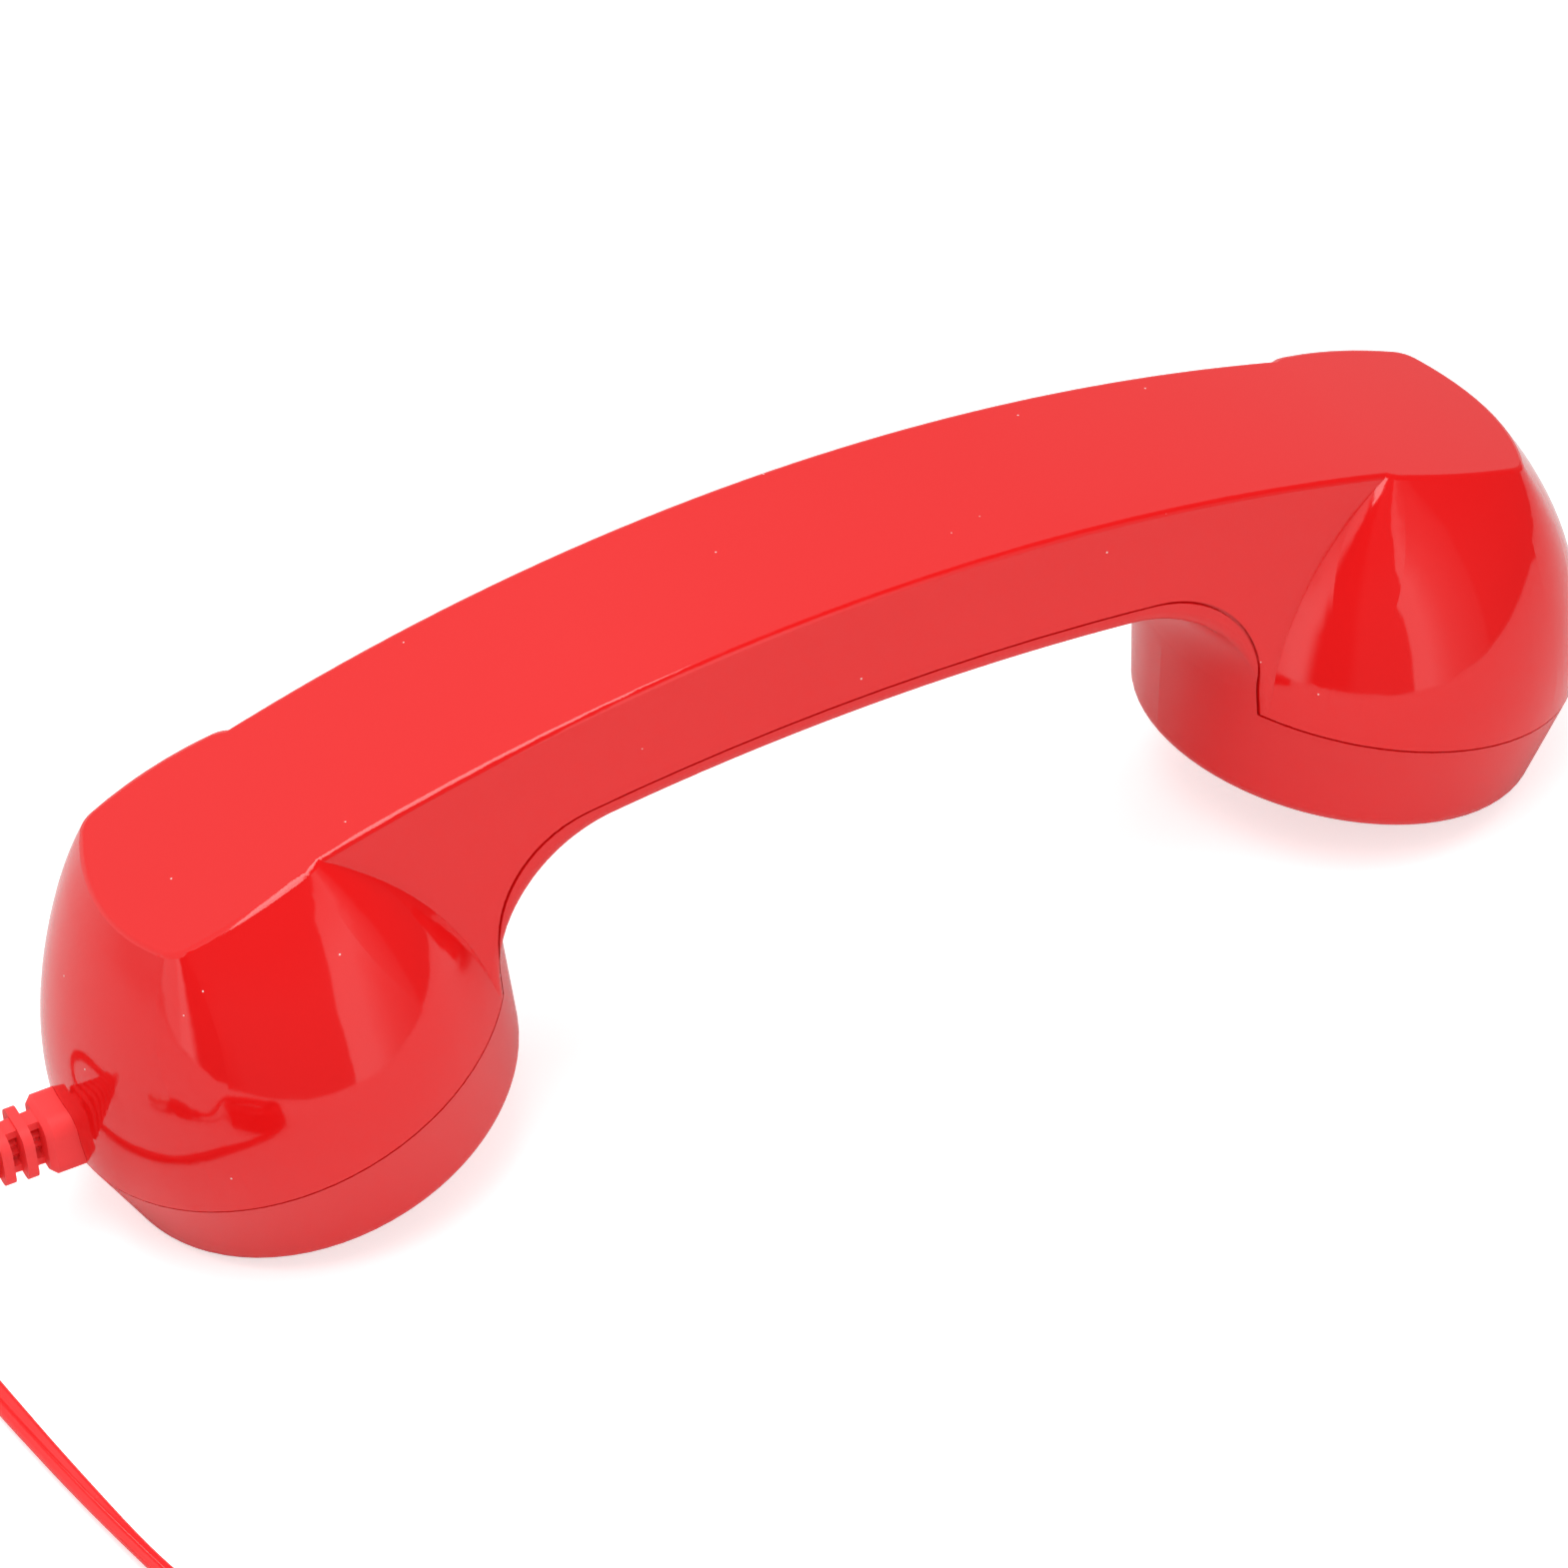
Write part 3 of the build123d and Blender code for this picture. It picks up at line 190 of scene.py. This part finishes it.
# Strain relief and the cord's entry: soft red thermoplastic elastomer moulded straight onto the
# cord. It has no gloss, and its ladder of rings bends in every direction.
matte_elastomer, tree, shader, place = finish("matte_red_elastomer")
mottle = add(tree, "TexNoise", Vector=place, Scale=300.0, Detail=3.0)
colour = add(tree, "ValToRGB", Fac=mottle.outputs["Fac"])
colour.color_ramp.elements[0].color = srgb("#FF3A3C")
colour.color_ramp.elements[1].color = srgb("#FF4244")
tree.links.new(colour.outputs["Color"], shader.inputs["Base Color"])
skin = add(tree, "TexNoise", Vector=place, Scale=4000.0, Detail=2.0)
bump = add(tree, "Bump", Strength=0.2, Distance=0.00003, Height=skin.outputs["Fac"])
tree.links.new(bump.outputs["Normal"], shader.inputs["Normal"])
gloss = add(tree, "MapRange", Value=mottle.outputs["Fac"], To_Min=0.50, To_Max=0.62)
tree.links.new(gloss.outputs["Result"], shader.inputs["Roughness"])
shader.inputs["IOR"].default_value = 1.5
wear(matte_elastomer, "strain_relief")

# Cord: a flat two-core cord, its red jacket extruded as two round lobes with a web between. It
# runs from the relief round a loop on the table and past the view's lower left corner into the
# put-away coil, whose turns lie in four layers, and ends in the plug.
line_points = [
    (-0.1342, 0.0, 0.0164), (-0.1420, 0.0, 0.0164), (-0.1525, 0.0015, 0.0110),
    (-0.1600, 0.0055, 0.0050), (-0.1660, 0.0130, 0.0019), (-0.1675, 0.0240, 0.0015),
    (-0.1615, 0.0340, 0.0015), (-0.1505, 0.0375, 0.0015), (-0.1400, 0.0325, 0.0015),
    (-0.1345, 0.0215, 0.0015), (-0.1323, 0.0078, 0.0015), (-0.1301, -0.0085, 0.0015),
    (-0.1279, -0.0250, 0.0015), (-0.1253, -0.0420, 0.0015), (-0.1221, -0.0595, 0.0015),
    (-0.1190, -0.0707, 0.0015)]
tilts = [90, 84, 72, 60, 52, 46, 42, 40, 38, 34, 28, 16, 2, -20, -44, -24]
coil_centre = Vector((-0.1335, -0.0960, 0.0015))
coil_inside = 0.0131
coil_outside = 0.0199
coil_layers = 4
layer_rise = 0.0028
climb_share = 0.1
coil_start = 32.0
coil_turns = 8.68
coil_steps = 125
for step in range(coil_steps + 1):
    gone = coil_layers * step / coil_steps
    layer = min(int(gone), coil_layers - 1)
    within = gone - layer
    swing = within if layer % 2 else 1 - within
    climb = max(0.0, (within - 1) / climb_share + 1) if layer < coil_layers - 1 else 0.0
    angle = math.radians(coil_start - 360.0 * coil_turns * step / coil_steps)
    radius = coil_inside + (coil_outside - coil_inside) * swing
    line_points.append(coil_centre + Vector((
        radius * math.cos(angle), radius * math.sin(angle), layer_rise * (layer + climb))))
line_points += [(-0.1493, -0.0770, 0.0093), (-0.1509, -0.0665, 0.0036),
                (-0.15263, -0.05976, 0.0034), (-0.1540, -0.0560, 0.0034)]
tilts += [0] * (len(line_points) - len(tilts))
cord_line = bpy.data.curves.new("cord_line", "CURVE")
cord_line.dimensions = "3D"
cord_line.resolution_u = 6
spline = cord_line.splines.new("NURBS")
spline.points.add(len(line_points) - 1)
for point, spot, tilt in zip(spline.points, line_points, tilts):
    point.co = (*spot, 1.0)
    point.tilt = math.radians(tilt)
spline.order_u = 3
spline.use_endpoint_u = True
line_object = bpy.data.objects.new("cord_line", cord_line)
scene.collection.objects.link(line_object)
line_mesh = bpy.data.meshes.new_from_object(line_object)

lobe_radius = 0.00075
lobe_points = 10
lobe_arc = 300
jacket = bpy.data.curves.new("cord_jacket", "CURVE")
jacket.dimensions = "2D"
outline = jacket.splines.new("POLY")
outline.points.add(2 * lobe_points - 1)
for index, point in enumerate(outline.points):
    side = lobe_radius if index < lobe_points else -lobe_radius
    angle = math.radians(lobe_arc / (lobe_points - 1) * (index % lobe_points) - lobe_arc / 2)
    point.co = (side * (1 + math.cos(angle)), side * math.sin(angle), 0, 1)
outline.use_cyclic_u = True
jacket_object = bpy.data.objects.new("cord_jacket", jacket)
scene.collection.objects.link(jacket_object)
cord_line.bevel_mode = "OBJECT"
cord_line.bevel_object = jacket_object
cord_line.twist_mode = "Z_UP"
cord_line.use_fill_caps = True
bpy.context.view_layer.update()
graph = bpy.context.evaluated_depsgraph_get()
cord_data = bpy.data.meshes.new_from_object(line_object.evaluated_get(graph), depsgraph=graph)
bpy.data.objects.remove(line_object)
bpy.data.objects.remove(jacket_object)
mesh = bmesh.new()
mesh.from_mesh(cord_data)
bmesh.ops.remove_doubles(mesh, verts=mesh.verts, dist=0.00001)
bmesh.ops.recalc_face_normals(mesh, faces=mesh.faces)
mesh.to_mesh(cord_data)
mesh.free()
cord_data.shade_smooth()
flat_cord = bpy.data.objects.new("flat_cord", cord_data)
scene.collection.objects.link(flat_cord)

cord_jacket, tree, shader, place = finish("extruded_red_cord_jacket")
mottle = add(tree, "TexNoise", Vector=place, Scale=250.0, Detail=2.0)
colour = add(tree, "ValToRGB", Fac=mottle.outputs["Fac"])
colour.color_ramp.elements[0].color = srgb("#FA2C2E")
colour.color_ramp.elements[1].color = srgb("#FF3234")
tree.links.new(colour.outputs["Color"], shader.inputs["Base Color"])
drag = add(tree, "TexNoise", Vector=place, Scale=1500.0, Detail=2.0)
bump = add(tree, "Bump", Strength=0.15, Distance=0.00003, Height=drag.outputs["Fac"])
tree.links.new(bump.outputs["Normal"], shader.inputs["Normal"])
gloss = add(tree, "MapRange", Value=mottle.outputs["Fac"], To_Min=0.20, To_Max=0.30)
tree.links.new(gloss.outputs["Result"], shader.inputs["Roughness"])
cord_data.materials.append(cord_jacket)
wear(cord_jacket, "cord_entry")
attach(flat_cord, "handset")
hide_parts("cord", "cord_coil", "cord_tail")

# Cord tie: a strip of black polypropylene wrapped round the put-away coil. Fine ribs across it,
# 0.6 mm apart, let it grip itself.
ribbed_strip, tree, shader, place = finish("black_polypropylene_strip")
rib_spacing = 0.0006
ribs = add(tree, "TexWave", {"bands_direction": "DIAGONAL"}, Vector=place,
           Scale=wave_spacing / rib_spacing)
colour = add(tree, "ValToRGB", Fac=ribs.outputs["Fac"])
colour.color_ramp.elements[0].color = srgb("#161617")
colour.color_ramp.elements[1].color = srgb("#262628")
tree.links.new(colour.outputs["Color"], shader.inputs["Base Color"])
bump = add(tree, "Bump", Strength=0.4, Distance=0.0001, Height=ribs.outputs["Fac"])
tree.links.new(bump.outputs["Normal"], shader.inputs["Normal"])
shader.inputs["Roughness"].default_value = 0.55
wear(ribbed_strip, "cord_tie")

# Plug grip: red thermoplastic elastomer over the solder joints, a little stiffer and darker than
# the relief, with the same matte skin.
grip_elastomer, tree, shader, place = finish("red_plug_elastomer")
mottle = add(tree, "TexNoise", Vector=place, Scale=400.0, Detail=3.0)
colour = add(tree, "ValToRGB", Fac=mottle.outputs["Fac"])
colour.color_ramp.elements[0].color = srgb("#E62A2C")
colour.color_ramp.elements[1].color = srgb("#EE3032")
tree.links.new(colour.outputs["Color"], shader.inputs["Base Color"])
skin = add(tree, "TexNoise", Vector=place, Scale=3000.0, Detail=2.0)
bump = add(tree, "Bump", Strength=0.25, Distance=0.00003, Height=skin.outputs["Fac"])
tree.links.new(bump.outputs["Normal"], shader.inputs["Normal"])
gloss = add(tree, "MapRange", Value=mottle.outputs["Fac"], To_Min=0.42, To_Max=0.55)
tree.links.new(gloss.outputs["Result"], shader.inputs["Roughness"])
wear(grip_elastomer, "plug_grip")

# Plug contacts: turned brass with a bright nickel plating. Sliding in and out of sockets leaves
# fine scratches.
nickel_plate, tree, shader, place = finish("bright_nickel_plate")
plug_turn = math.radians(20)
stretch = add(tree, "Mapping", Vector=place, Rotation=(0, 0, plug_turn), Scale=(9000, 300, 9000))
scratch = add(tree, "TexNoise", Vector=stretch.outputs["Vector"], Scale=1.0, Detail=3.0)
colour = add(tree, "ValToRGB", Fac=scratch.outputs["Fac"])
colour.color_ramp.elements[0].color = srgb("#CDC9C0")
colour.color_ramp.elements[1].color = srgb("#DEDBD4")
tree.links.new(colour.outputs["Color"], shader.inputs["Base Color"])
shader.inputs["Metallic"].default_value = 1.0
gloss = add(tree, "MapRange", Value=scratch.outputs["Fac"], To_Min=0.10, To_Max=0.24)
tree.links.new(gloss.outputs["Result"], shader.inputs["Roughness"])
wear(nickel_plate, "plug_sleeve", "plug_rings", "plug_tip")

# Insulating rings, the speaker's basket and the switch body: black glass-filled plastics with a
# dull skin in which the short fibres show as pale flecks.
black_nylon, tree, shader, place = finish("black_glass_filled_nylon")
fleck = add(tree, "TexNoise", Vector=place, Scale=2500.0, Detail=4.0)
colour = add(tree, "ValToRGB", Fac=fleck.outputs["Fac"])
colour.color_ramp.elements[0].color = srgb("#19191A")
colour.color_ramp.elements[1].position = 0.8
colour.color_ramp.elements[1].color = srgb("#353537")
tree.links.new(colour.outputs["Color"], shader.inputs["Base Color"])
gloss = add(tree, "MapRange", Value=fleck.outputs["Fac"], To_Min=0.40, To_Max=0.58)
tree.links.new(gloss.outputs["Result"], shader.inputs["Roughness"])
wear(black_nylon, "plug_insulators", "speaker_basket", "switch_body")

# Speaker gasket and microphone boot: soft black silicone rubber that seals each capsule to its
# cap. It is dull and a little dusty.
black_silicone, tree, shader, place = finish("black_silicone_rubber")
bloom = add(tree, "TexNoise", Vector=place, Scale=500.0, Detail=3.0)
colour = add(tree, "ValToRGB", Fac=bloom.outputs["Fac"])
colour.color_ramp.elements[0].color = srgb("#1B1B1C")
colour.color_ramp.elements[1].color = srgb("#2A2A2B")
tree.links.new(colour.outputs["Color"], shader.inputs["Base Color"])
shader.inputs["Roughness"].default_value = 0.75
wear(black_silicone, "speaker_gasket", "mic_boot")

# Speaker cone: one pressed-paper pulp cone with its roll and dust cap. Long fibres mottle the
# dark grey.
pressed_paper, tree, shader, place = finish("pressed_paper_pulp")
fibre = add(tree, "TexNoise", Vector=place, Scale=1200.0, Detail=6.0, Distortion=1.5)
colour = add(tree, "ValToRGB", Fac=fibre.outputs["Fac"])
colour.color_ramp.elements[0].color = srgb("#3A3938")
colour.color_ramp.elements[1].color = srgb("#5E5C59")
tree.links.new(colour.outputs["Color"], shader.inputs["Base Color"])
bump = add(tree, "Bump", Strength=0.4, Distance=0.00006, Height=fibre.outputs["Fac"])
tree.links.new(bump.outputs["Normal"], shader.inputs["Normal"])
shader.inputs["Roughness"].default_value = 0.9
wear(pressed_paper, "speaker_cone")

# Voice coil: two layers of enamelled copper wire, 0.12 mm thick, wound round the former. The
# turns show as rings one above the other, drawn twice as coarse as the wire.
copper_wire, tree, shader, place = finish("enamelled_copper_wire")
turn_spacing = 0.00025
turns = add(tree, "TexWave", {"bands_direction": "Z"}, Vector=place,
            Scale=wave_spacing / turn_spacing)
colour = add(tree, "ValToRGB", Fac=turns.outputs["Fac"])
colour.color_ramp.elements[0].color = srgb("#7A3A1C")
colour.color_ramp.elements[1].color = srgb("#C97B45")
tree.links.new(colour.outputs["Color"], shader.inputs["Base Color"])
bump = add(tree, "Bump", Strength=0.5, Distance=0.00005, Height=turns.outputs["Fac"])
tree.links.new(bump.outputs["Normal"], shader.inputs["Normal"])
shader.inputs["Metallic"].default_value = 0.8
shader.inputs["Roughness"].default_value = 0.3
wear(copper_wire, "speaker_voice_coil")

# Pole plate and yoke: soft iron pressings with a clear passivation, cool grey with the rub marks
# of the press.
soft_iron, tree, shader, place = finish("passivated_soft_iron")
rub = add(tree, "TexNoise", Vector=place, Scale=700.0, Detail=4.0)
colour = add(tree, "ValToRGB", Fac=rub.outputs["Fac"])
colour.color_ramp.elements[0].color = srgb("#9A9B9C")
colour.color_ramp.elements[1].color = srgb("#BEBFBF")
tree.links.new(colour.outputs["Color"], shader.inputs["Base Color"])
shader.inputs["Metallic"].default_value = 1.0
gloss = add(tree, "MapRange", Value=rub.outputs["Fac"], To_Min=0.35, To_Max=0.5)
tree.links.new(gloss.outputs["Result"], shader.inputs["Roughness"])
wear(soft_iron, "speaker_pole_plate", "speaker_yoke")

# Magnet: a sintered ferrite slug, dark grey and slightly grainy, with ground faces.
sintered_ferrite, tree, shader, place = finish("sintered_ferrite")
grit = add(tree, "TexNoise", Vector=place, Scale=2500.0, Detail=4.0)
colour = add(tree, "ValToRGB", Fac=grit.outputs["Fac"])
colour.color_ramp.elements[0].color = srgb("#36373A")
colour.color_ramp.elements[1].color = srgb("#4C4D50")
tree.links.new(colour.outputs["Color"], shader.inputs["Base Color"])
shader.inputs["Metallic"].default_value = 0.4
shader.inputs["Roughness"].default_value = 0.6
wear(sintered_ferrite, "speaker_magnet")

# Boards: thin glass-fibre laminate with green solder resist. The weave under the resist shows as
# a faint cross pattern.
solder_resist, tree, shader, place = finish("green_solder_resist")
glass = add(tree, "TexChecker", Vector=place, Scale=2500.0, Color1=srgb("#0F5B33"),
            Color2=srgb("#13663A"))
tree.links.new(glass.outputs["Color"], shader.inputs["Base Color"])
bump = add(tree, "Bump", Strength=0.1, Distance=0.00003, Height=glass.outputs["Fac"])
tree.links.new(bump.outputs["Normal"], shader.inputs["Normal"])
shader.inputs["Roughness"].default_value = 0.35
wear(solder_resist, "speaker_terminal_board", "mic_board", "switch_board")

# Microphone capsule: a drawn aluminium can, crimped over its board, with the drawing marks left
# bright on the side.
drawn_aluminium, tree, shader, place = finish("drawn_aluminium")
marks = add(tree, "TexNoise", Vector=place, Scale=1200.0, Detail=3.0)
colour = add(tree, "ValToRGB", Fac=marks.outputs["Fac"])
colour.color_ramp.elements[0].color = srgb("#C4C5C7")
colour.color_ramp.elements[1].color = srgb("#DADBDC")
tree.links.new(colour.outputs["Color"], shader.inputs["Base Color"])
shader.inputs["Metallic"].default_value = 1.0
gloss = add(tree, "MapRange", Value=marks.outputs["Fac"], To_Min=0.25, To_Max=0.38)
tree.links.new(gloss.outputs["Result"], shader.inputs["Roughness"])
wear(drawn_aluminium, "mic_capsule")

# Switch plunger: the white acetal stem of the push switch under the answer button. Acetal is
# milky and slightly waxy.
white_acetal, tree, shader, place = finish("white_acetal")
milk = add(tree, "TexNoise", Vector=place, Scale=600.0, Detail=2.0)
colour = add(tree, "ValToRGB", Fac=milk.outputs["Fac"])
colour.color_ramp.elements[0].color = srgb("#DEDDD8")
colour.color_ramp.elements[1].color = srgb("#EBEAE6")
tree.links.new(colour.outputs["Color"], shader.inputs["Base Color"])
shader.inputs["Roughness"].default_value = 0.4
wear(white_acetal, "switch_plunger")

# Leads and cord cores: stranded copper in thin PVC sleeves, red for the speaker and the cord's
# cores, white for the microphone.
for name, dark, light, parts in (
        ("red_pvc_sleeve", "#A51013", "#B81619", ("speaker_leads", "cord_cores")),
        ("white_pvc_sleeve", "#D5D4D1", "#E6E5E2", ("mic_leads",))):
    sleeve, tree, shader, place = finish(name)
    drag = add(tree, "TexNoise", Vector=place, Scale=800.0, Detail=2.0)
    colour = add(tree, "ValToRGB", Fac=drag.outputs["Fac"])
    colour.color_ramp.elements[0].color = srgb(dark)
    colour.color_ramp.elements[1].color = srgb(light)
    tree.links.new(colour.outputs["Color"], shader.inputs["Base Color"])
    gloss = add(tree, "MapRange", Value=drag.outputs["Fac"], To_Min=0.35, To_Max=0.5)
    tree.links.new(gloss.outputs["Result"], shader.inputs["Roughness"])
    wear(sleeve, *parts)

# Table: a sheet of matt white paper. Its front edge lies a hand's breadth before the handset,
# below the picture, so the polished shell mirrors the paper only up to there. The camera sees it
# white with a faint shadow.
white_paper, tree, shader, place = finish("white_paper")
pulp = add(tree, "TexNoise", Vector=place, Scale=900.0, Detail=2.0)
colour = add(tree, "ValToRGB", Fac=pulp.outputs["Fac"])
colour.color_ramp.elements[0].color = srgb("#EDEDED")
colour.color_ramp.elements[1].color = srgb("#F2F2F2")
tree.links.new(colour.outputs["Color"], shader.inputs["Base Color"])
shader.inputs["Roughness"].default_value = 0.9
rays = add(tree, "LightPath")
seen = add(tree, "Math", {"operation": "MAXIMUM"}, n0=rays.outputs["Is Camera Ray"],
           n1=rays.outputs["Is Transmission Ray"])
glow = add(tree, "Emission", Color=(1, 1, 1, 1), Strength=0.58)
lit = add(tree, "AddShader", n0=shader.outputs["BSDF"], n1=glow.outputs["Emission"])
shown = add(tree, "MixShader", n0=seen.outputs["Value"], n1=shader.outputs["BSDF"],
            n2=lit.outputs["Shader"])
tree.links.new(shown.outputs["Shader"], tree.nodes["Material Output"].inputs["Surface"])
table_reach = 3.0
table_front = -0.17
mesh = bmesh.new()
bmesh.ops.create_grid(mesh, x_segments=1, y_segments=1, size=table_reach)
bmesh.ops.translate(mesh, verts=mesh.verts, vec=(0, table_reach + table_front, 0))
floor_data = bpy.data.meshes.new("floor")
mesh.to_mesh(floor_data)
mesh.free()
floor_data.materials.append(white_paper)
floor = bpy.data.objects.new("floor", floor_data)
scene.collection.objects.link(floor)

# Light: an even white room for the matt surfaces, one long softbox overhead and, in front, a
# reflector that fades to its right. What the polished shell mirrors of the room is white behind
# and on the left, and dim in front, as in a studio. The walls' levels go by compass bearing.
world = bpy.data.worlds.new("white_room")
scene.world = world
world.use_nodes = True
tree = world.node_tree
rays = add(tree, "LightPath")
toward = add(tree, "SeparateXYZ", Vector=add(tree, "TexCoord").outputs["Generated"])
compass = add(tree, "Math", {"operation": "ARCTAN2"}, n0=toward.outputs["Y"],
              n1=toward.outputs["X"])
around = add(tree, "MapRange", Value=compass.outputs["Value"], From_Min=-math.pi, From_Max=math.pi)
walls = add(tree, "ValToRGB", Fac=around.outputs["Result"])
wall_levels = [(-180, 1.20), (-158, 1.20), (-154, 1.60), (-148, 1.60), (-143, 0.10), (-126, 0.10),
               (-120, 0.24), (-80, 0.24), (-50, 0.20), (-30, 0.14), (10, 0.14), (35, 0.30),
               (55, 0.80), (80, 1.05), (120, 1.10), (160, 1.15), (180, 1.20)]
for bearing, level in wall_levels[1:-1]:
    walls.color_ramp.elements.new(bearing / 360 + 0.5)
for stop, (bearing, level) in zip(walls.color_ramp.elements, wall_levels):
    stop.color = (level, level, level, 1)
upward = add(tree, "ValToRGB", Fac=toward.outputs["Z"])
upward.color_ramp.elements[0].position = 0.28
upward.color_ramp.elements[0].color = (1, 1, 1, 1)
upward.color_ramp.elements[1].position = 0.52
upward.color_ramp.elements[1].color = (0.75, 0.75, 0.75, 1)
room = add(tree, "MixRGB", {"blend_type": "MULTIPLY"}, Fac=1.0, Color1=walls.outputs["Color"],
           Color2=upward.outputs["Color"])
mirrored = add(tree, "MixRGB", Fac=rays.outputs["Is Glossy Ray"], Color1=(0.64, 0.64, 0.64, 1),
               Color2=room.outputs["Color"])
sight = add(tree, "Math", {"operation": "MAXIMUM"}, n0=rays.outputs["Is Camera Ray"],
            n1=rays.outputs["Is Transmission Ray"])
shown = add(tree, "MixRGB", Fac=sight.outputs["Value"], Color1=mirrored.outputs["Color"],
            Color2=(1, 1, 1, 1))
tree.links.new(shown.outputs["Color"], tree.nodes["Background"].inputs["Color"])
for name, size, energy, spot, aim, along, upright in (
        ("overhead_softbox", (0.40, 1.04), 5.3, (-0.20, -0.097, 1.0), (0, 0, -15),
         ((0.0, 1.0), (1.0, 1.0)), ((0.0, 1.0), (1.0, 1.0))),
        ("front_reflector", (0.40, 0.74), 1.05, (0.166, -0.444, 0.19), (90, 0, 56),
         ((0.0, 1.0), (0.35, 1.0), (0.65, 0.4), (1.0, 0.1)),
         ((0.0, 1.0), (0.6, 1.0), (1.0, 0.5)))):
    lamp_data = bpy.data.lights.new(name, "AREA")
    lamp_data.shape = "RECTANGLE"
    lamp_data.size, lamp_data.size_y = size
    lamp_data.energy = energy
    lamp_data.use_nodes = True
    tree = lamp_data.node_tree
    spread = add(tree, "SeparateXYZ", Vector=add(tree, "NewGeometry").outputs["Parametric"])
    glow = add(tree, "MixRGB", {"blend_type": "MULTIPLY"}, Fac=1.0)
    tree.links.new(glow.outputs["Color"], tree.nodes["Emission"].inputs["Color"])
    for axis, side, fades in (("X", "Color1", along), ("Y", "Color2", upright)):
        fade = add(tree, "ValToRGB", Fac=spread.outputs[axis])
        for position, share in fades[1:-1]:
            fade.color_ramp.elements.new(position)
        for stop, (position, share) in zip(fade.color_ramp.elements, fades):
            stop.color = (share, share, share, 1)
        tree.links.new(fade.outputs["Color"], glow.inputs[side])
    lamp = bpy.data.objects.new(name, lamp_data)
    lamp.location = spot
    lamp.rotation_euler = [math.radians(turn) for turn in aim]
    scene.collection.objects.link(lamp)

scene.view_settings.view_transform = "Standard"
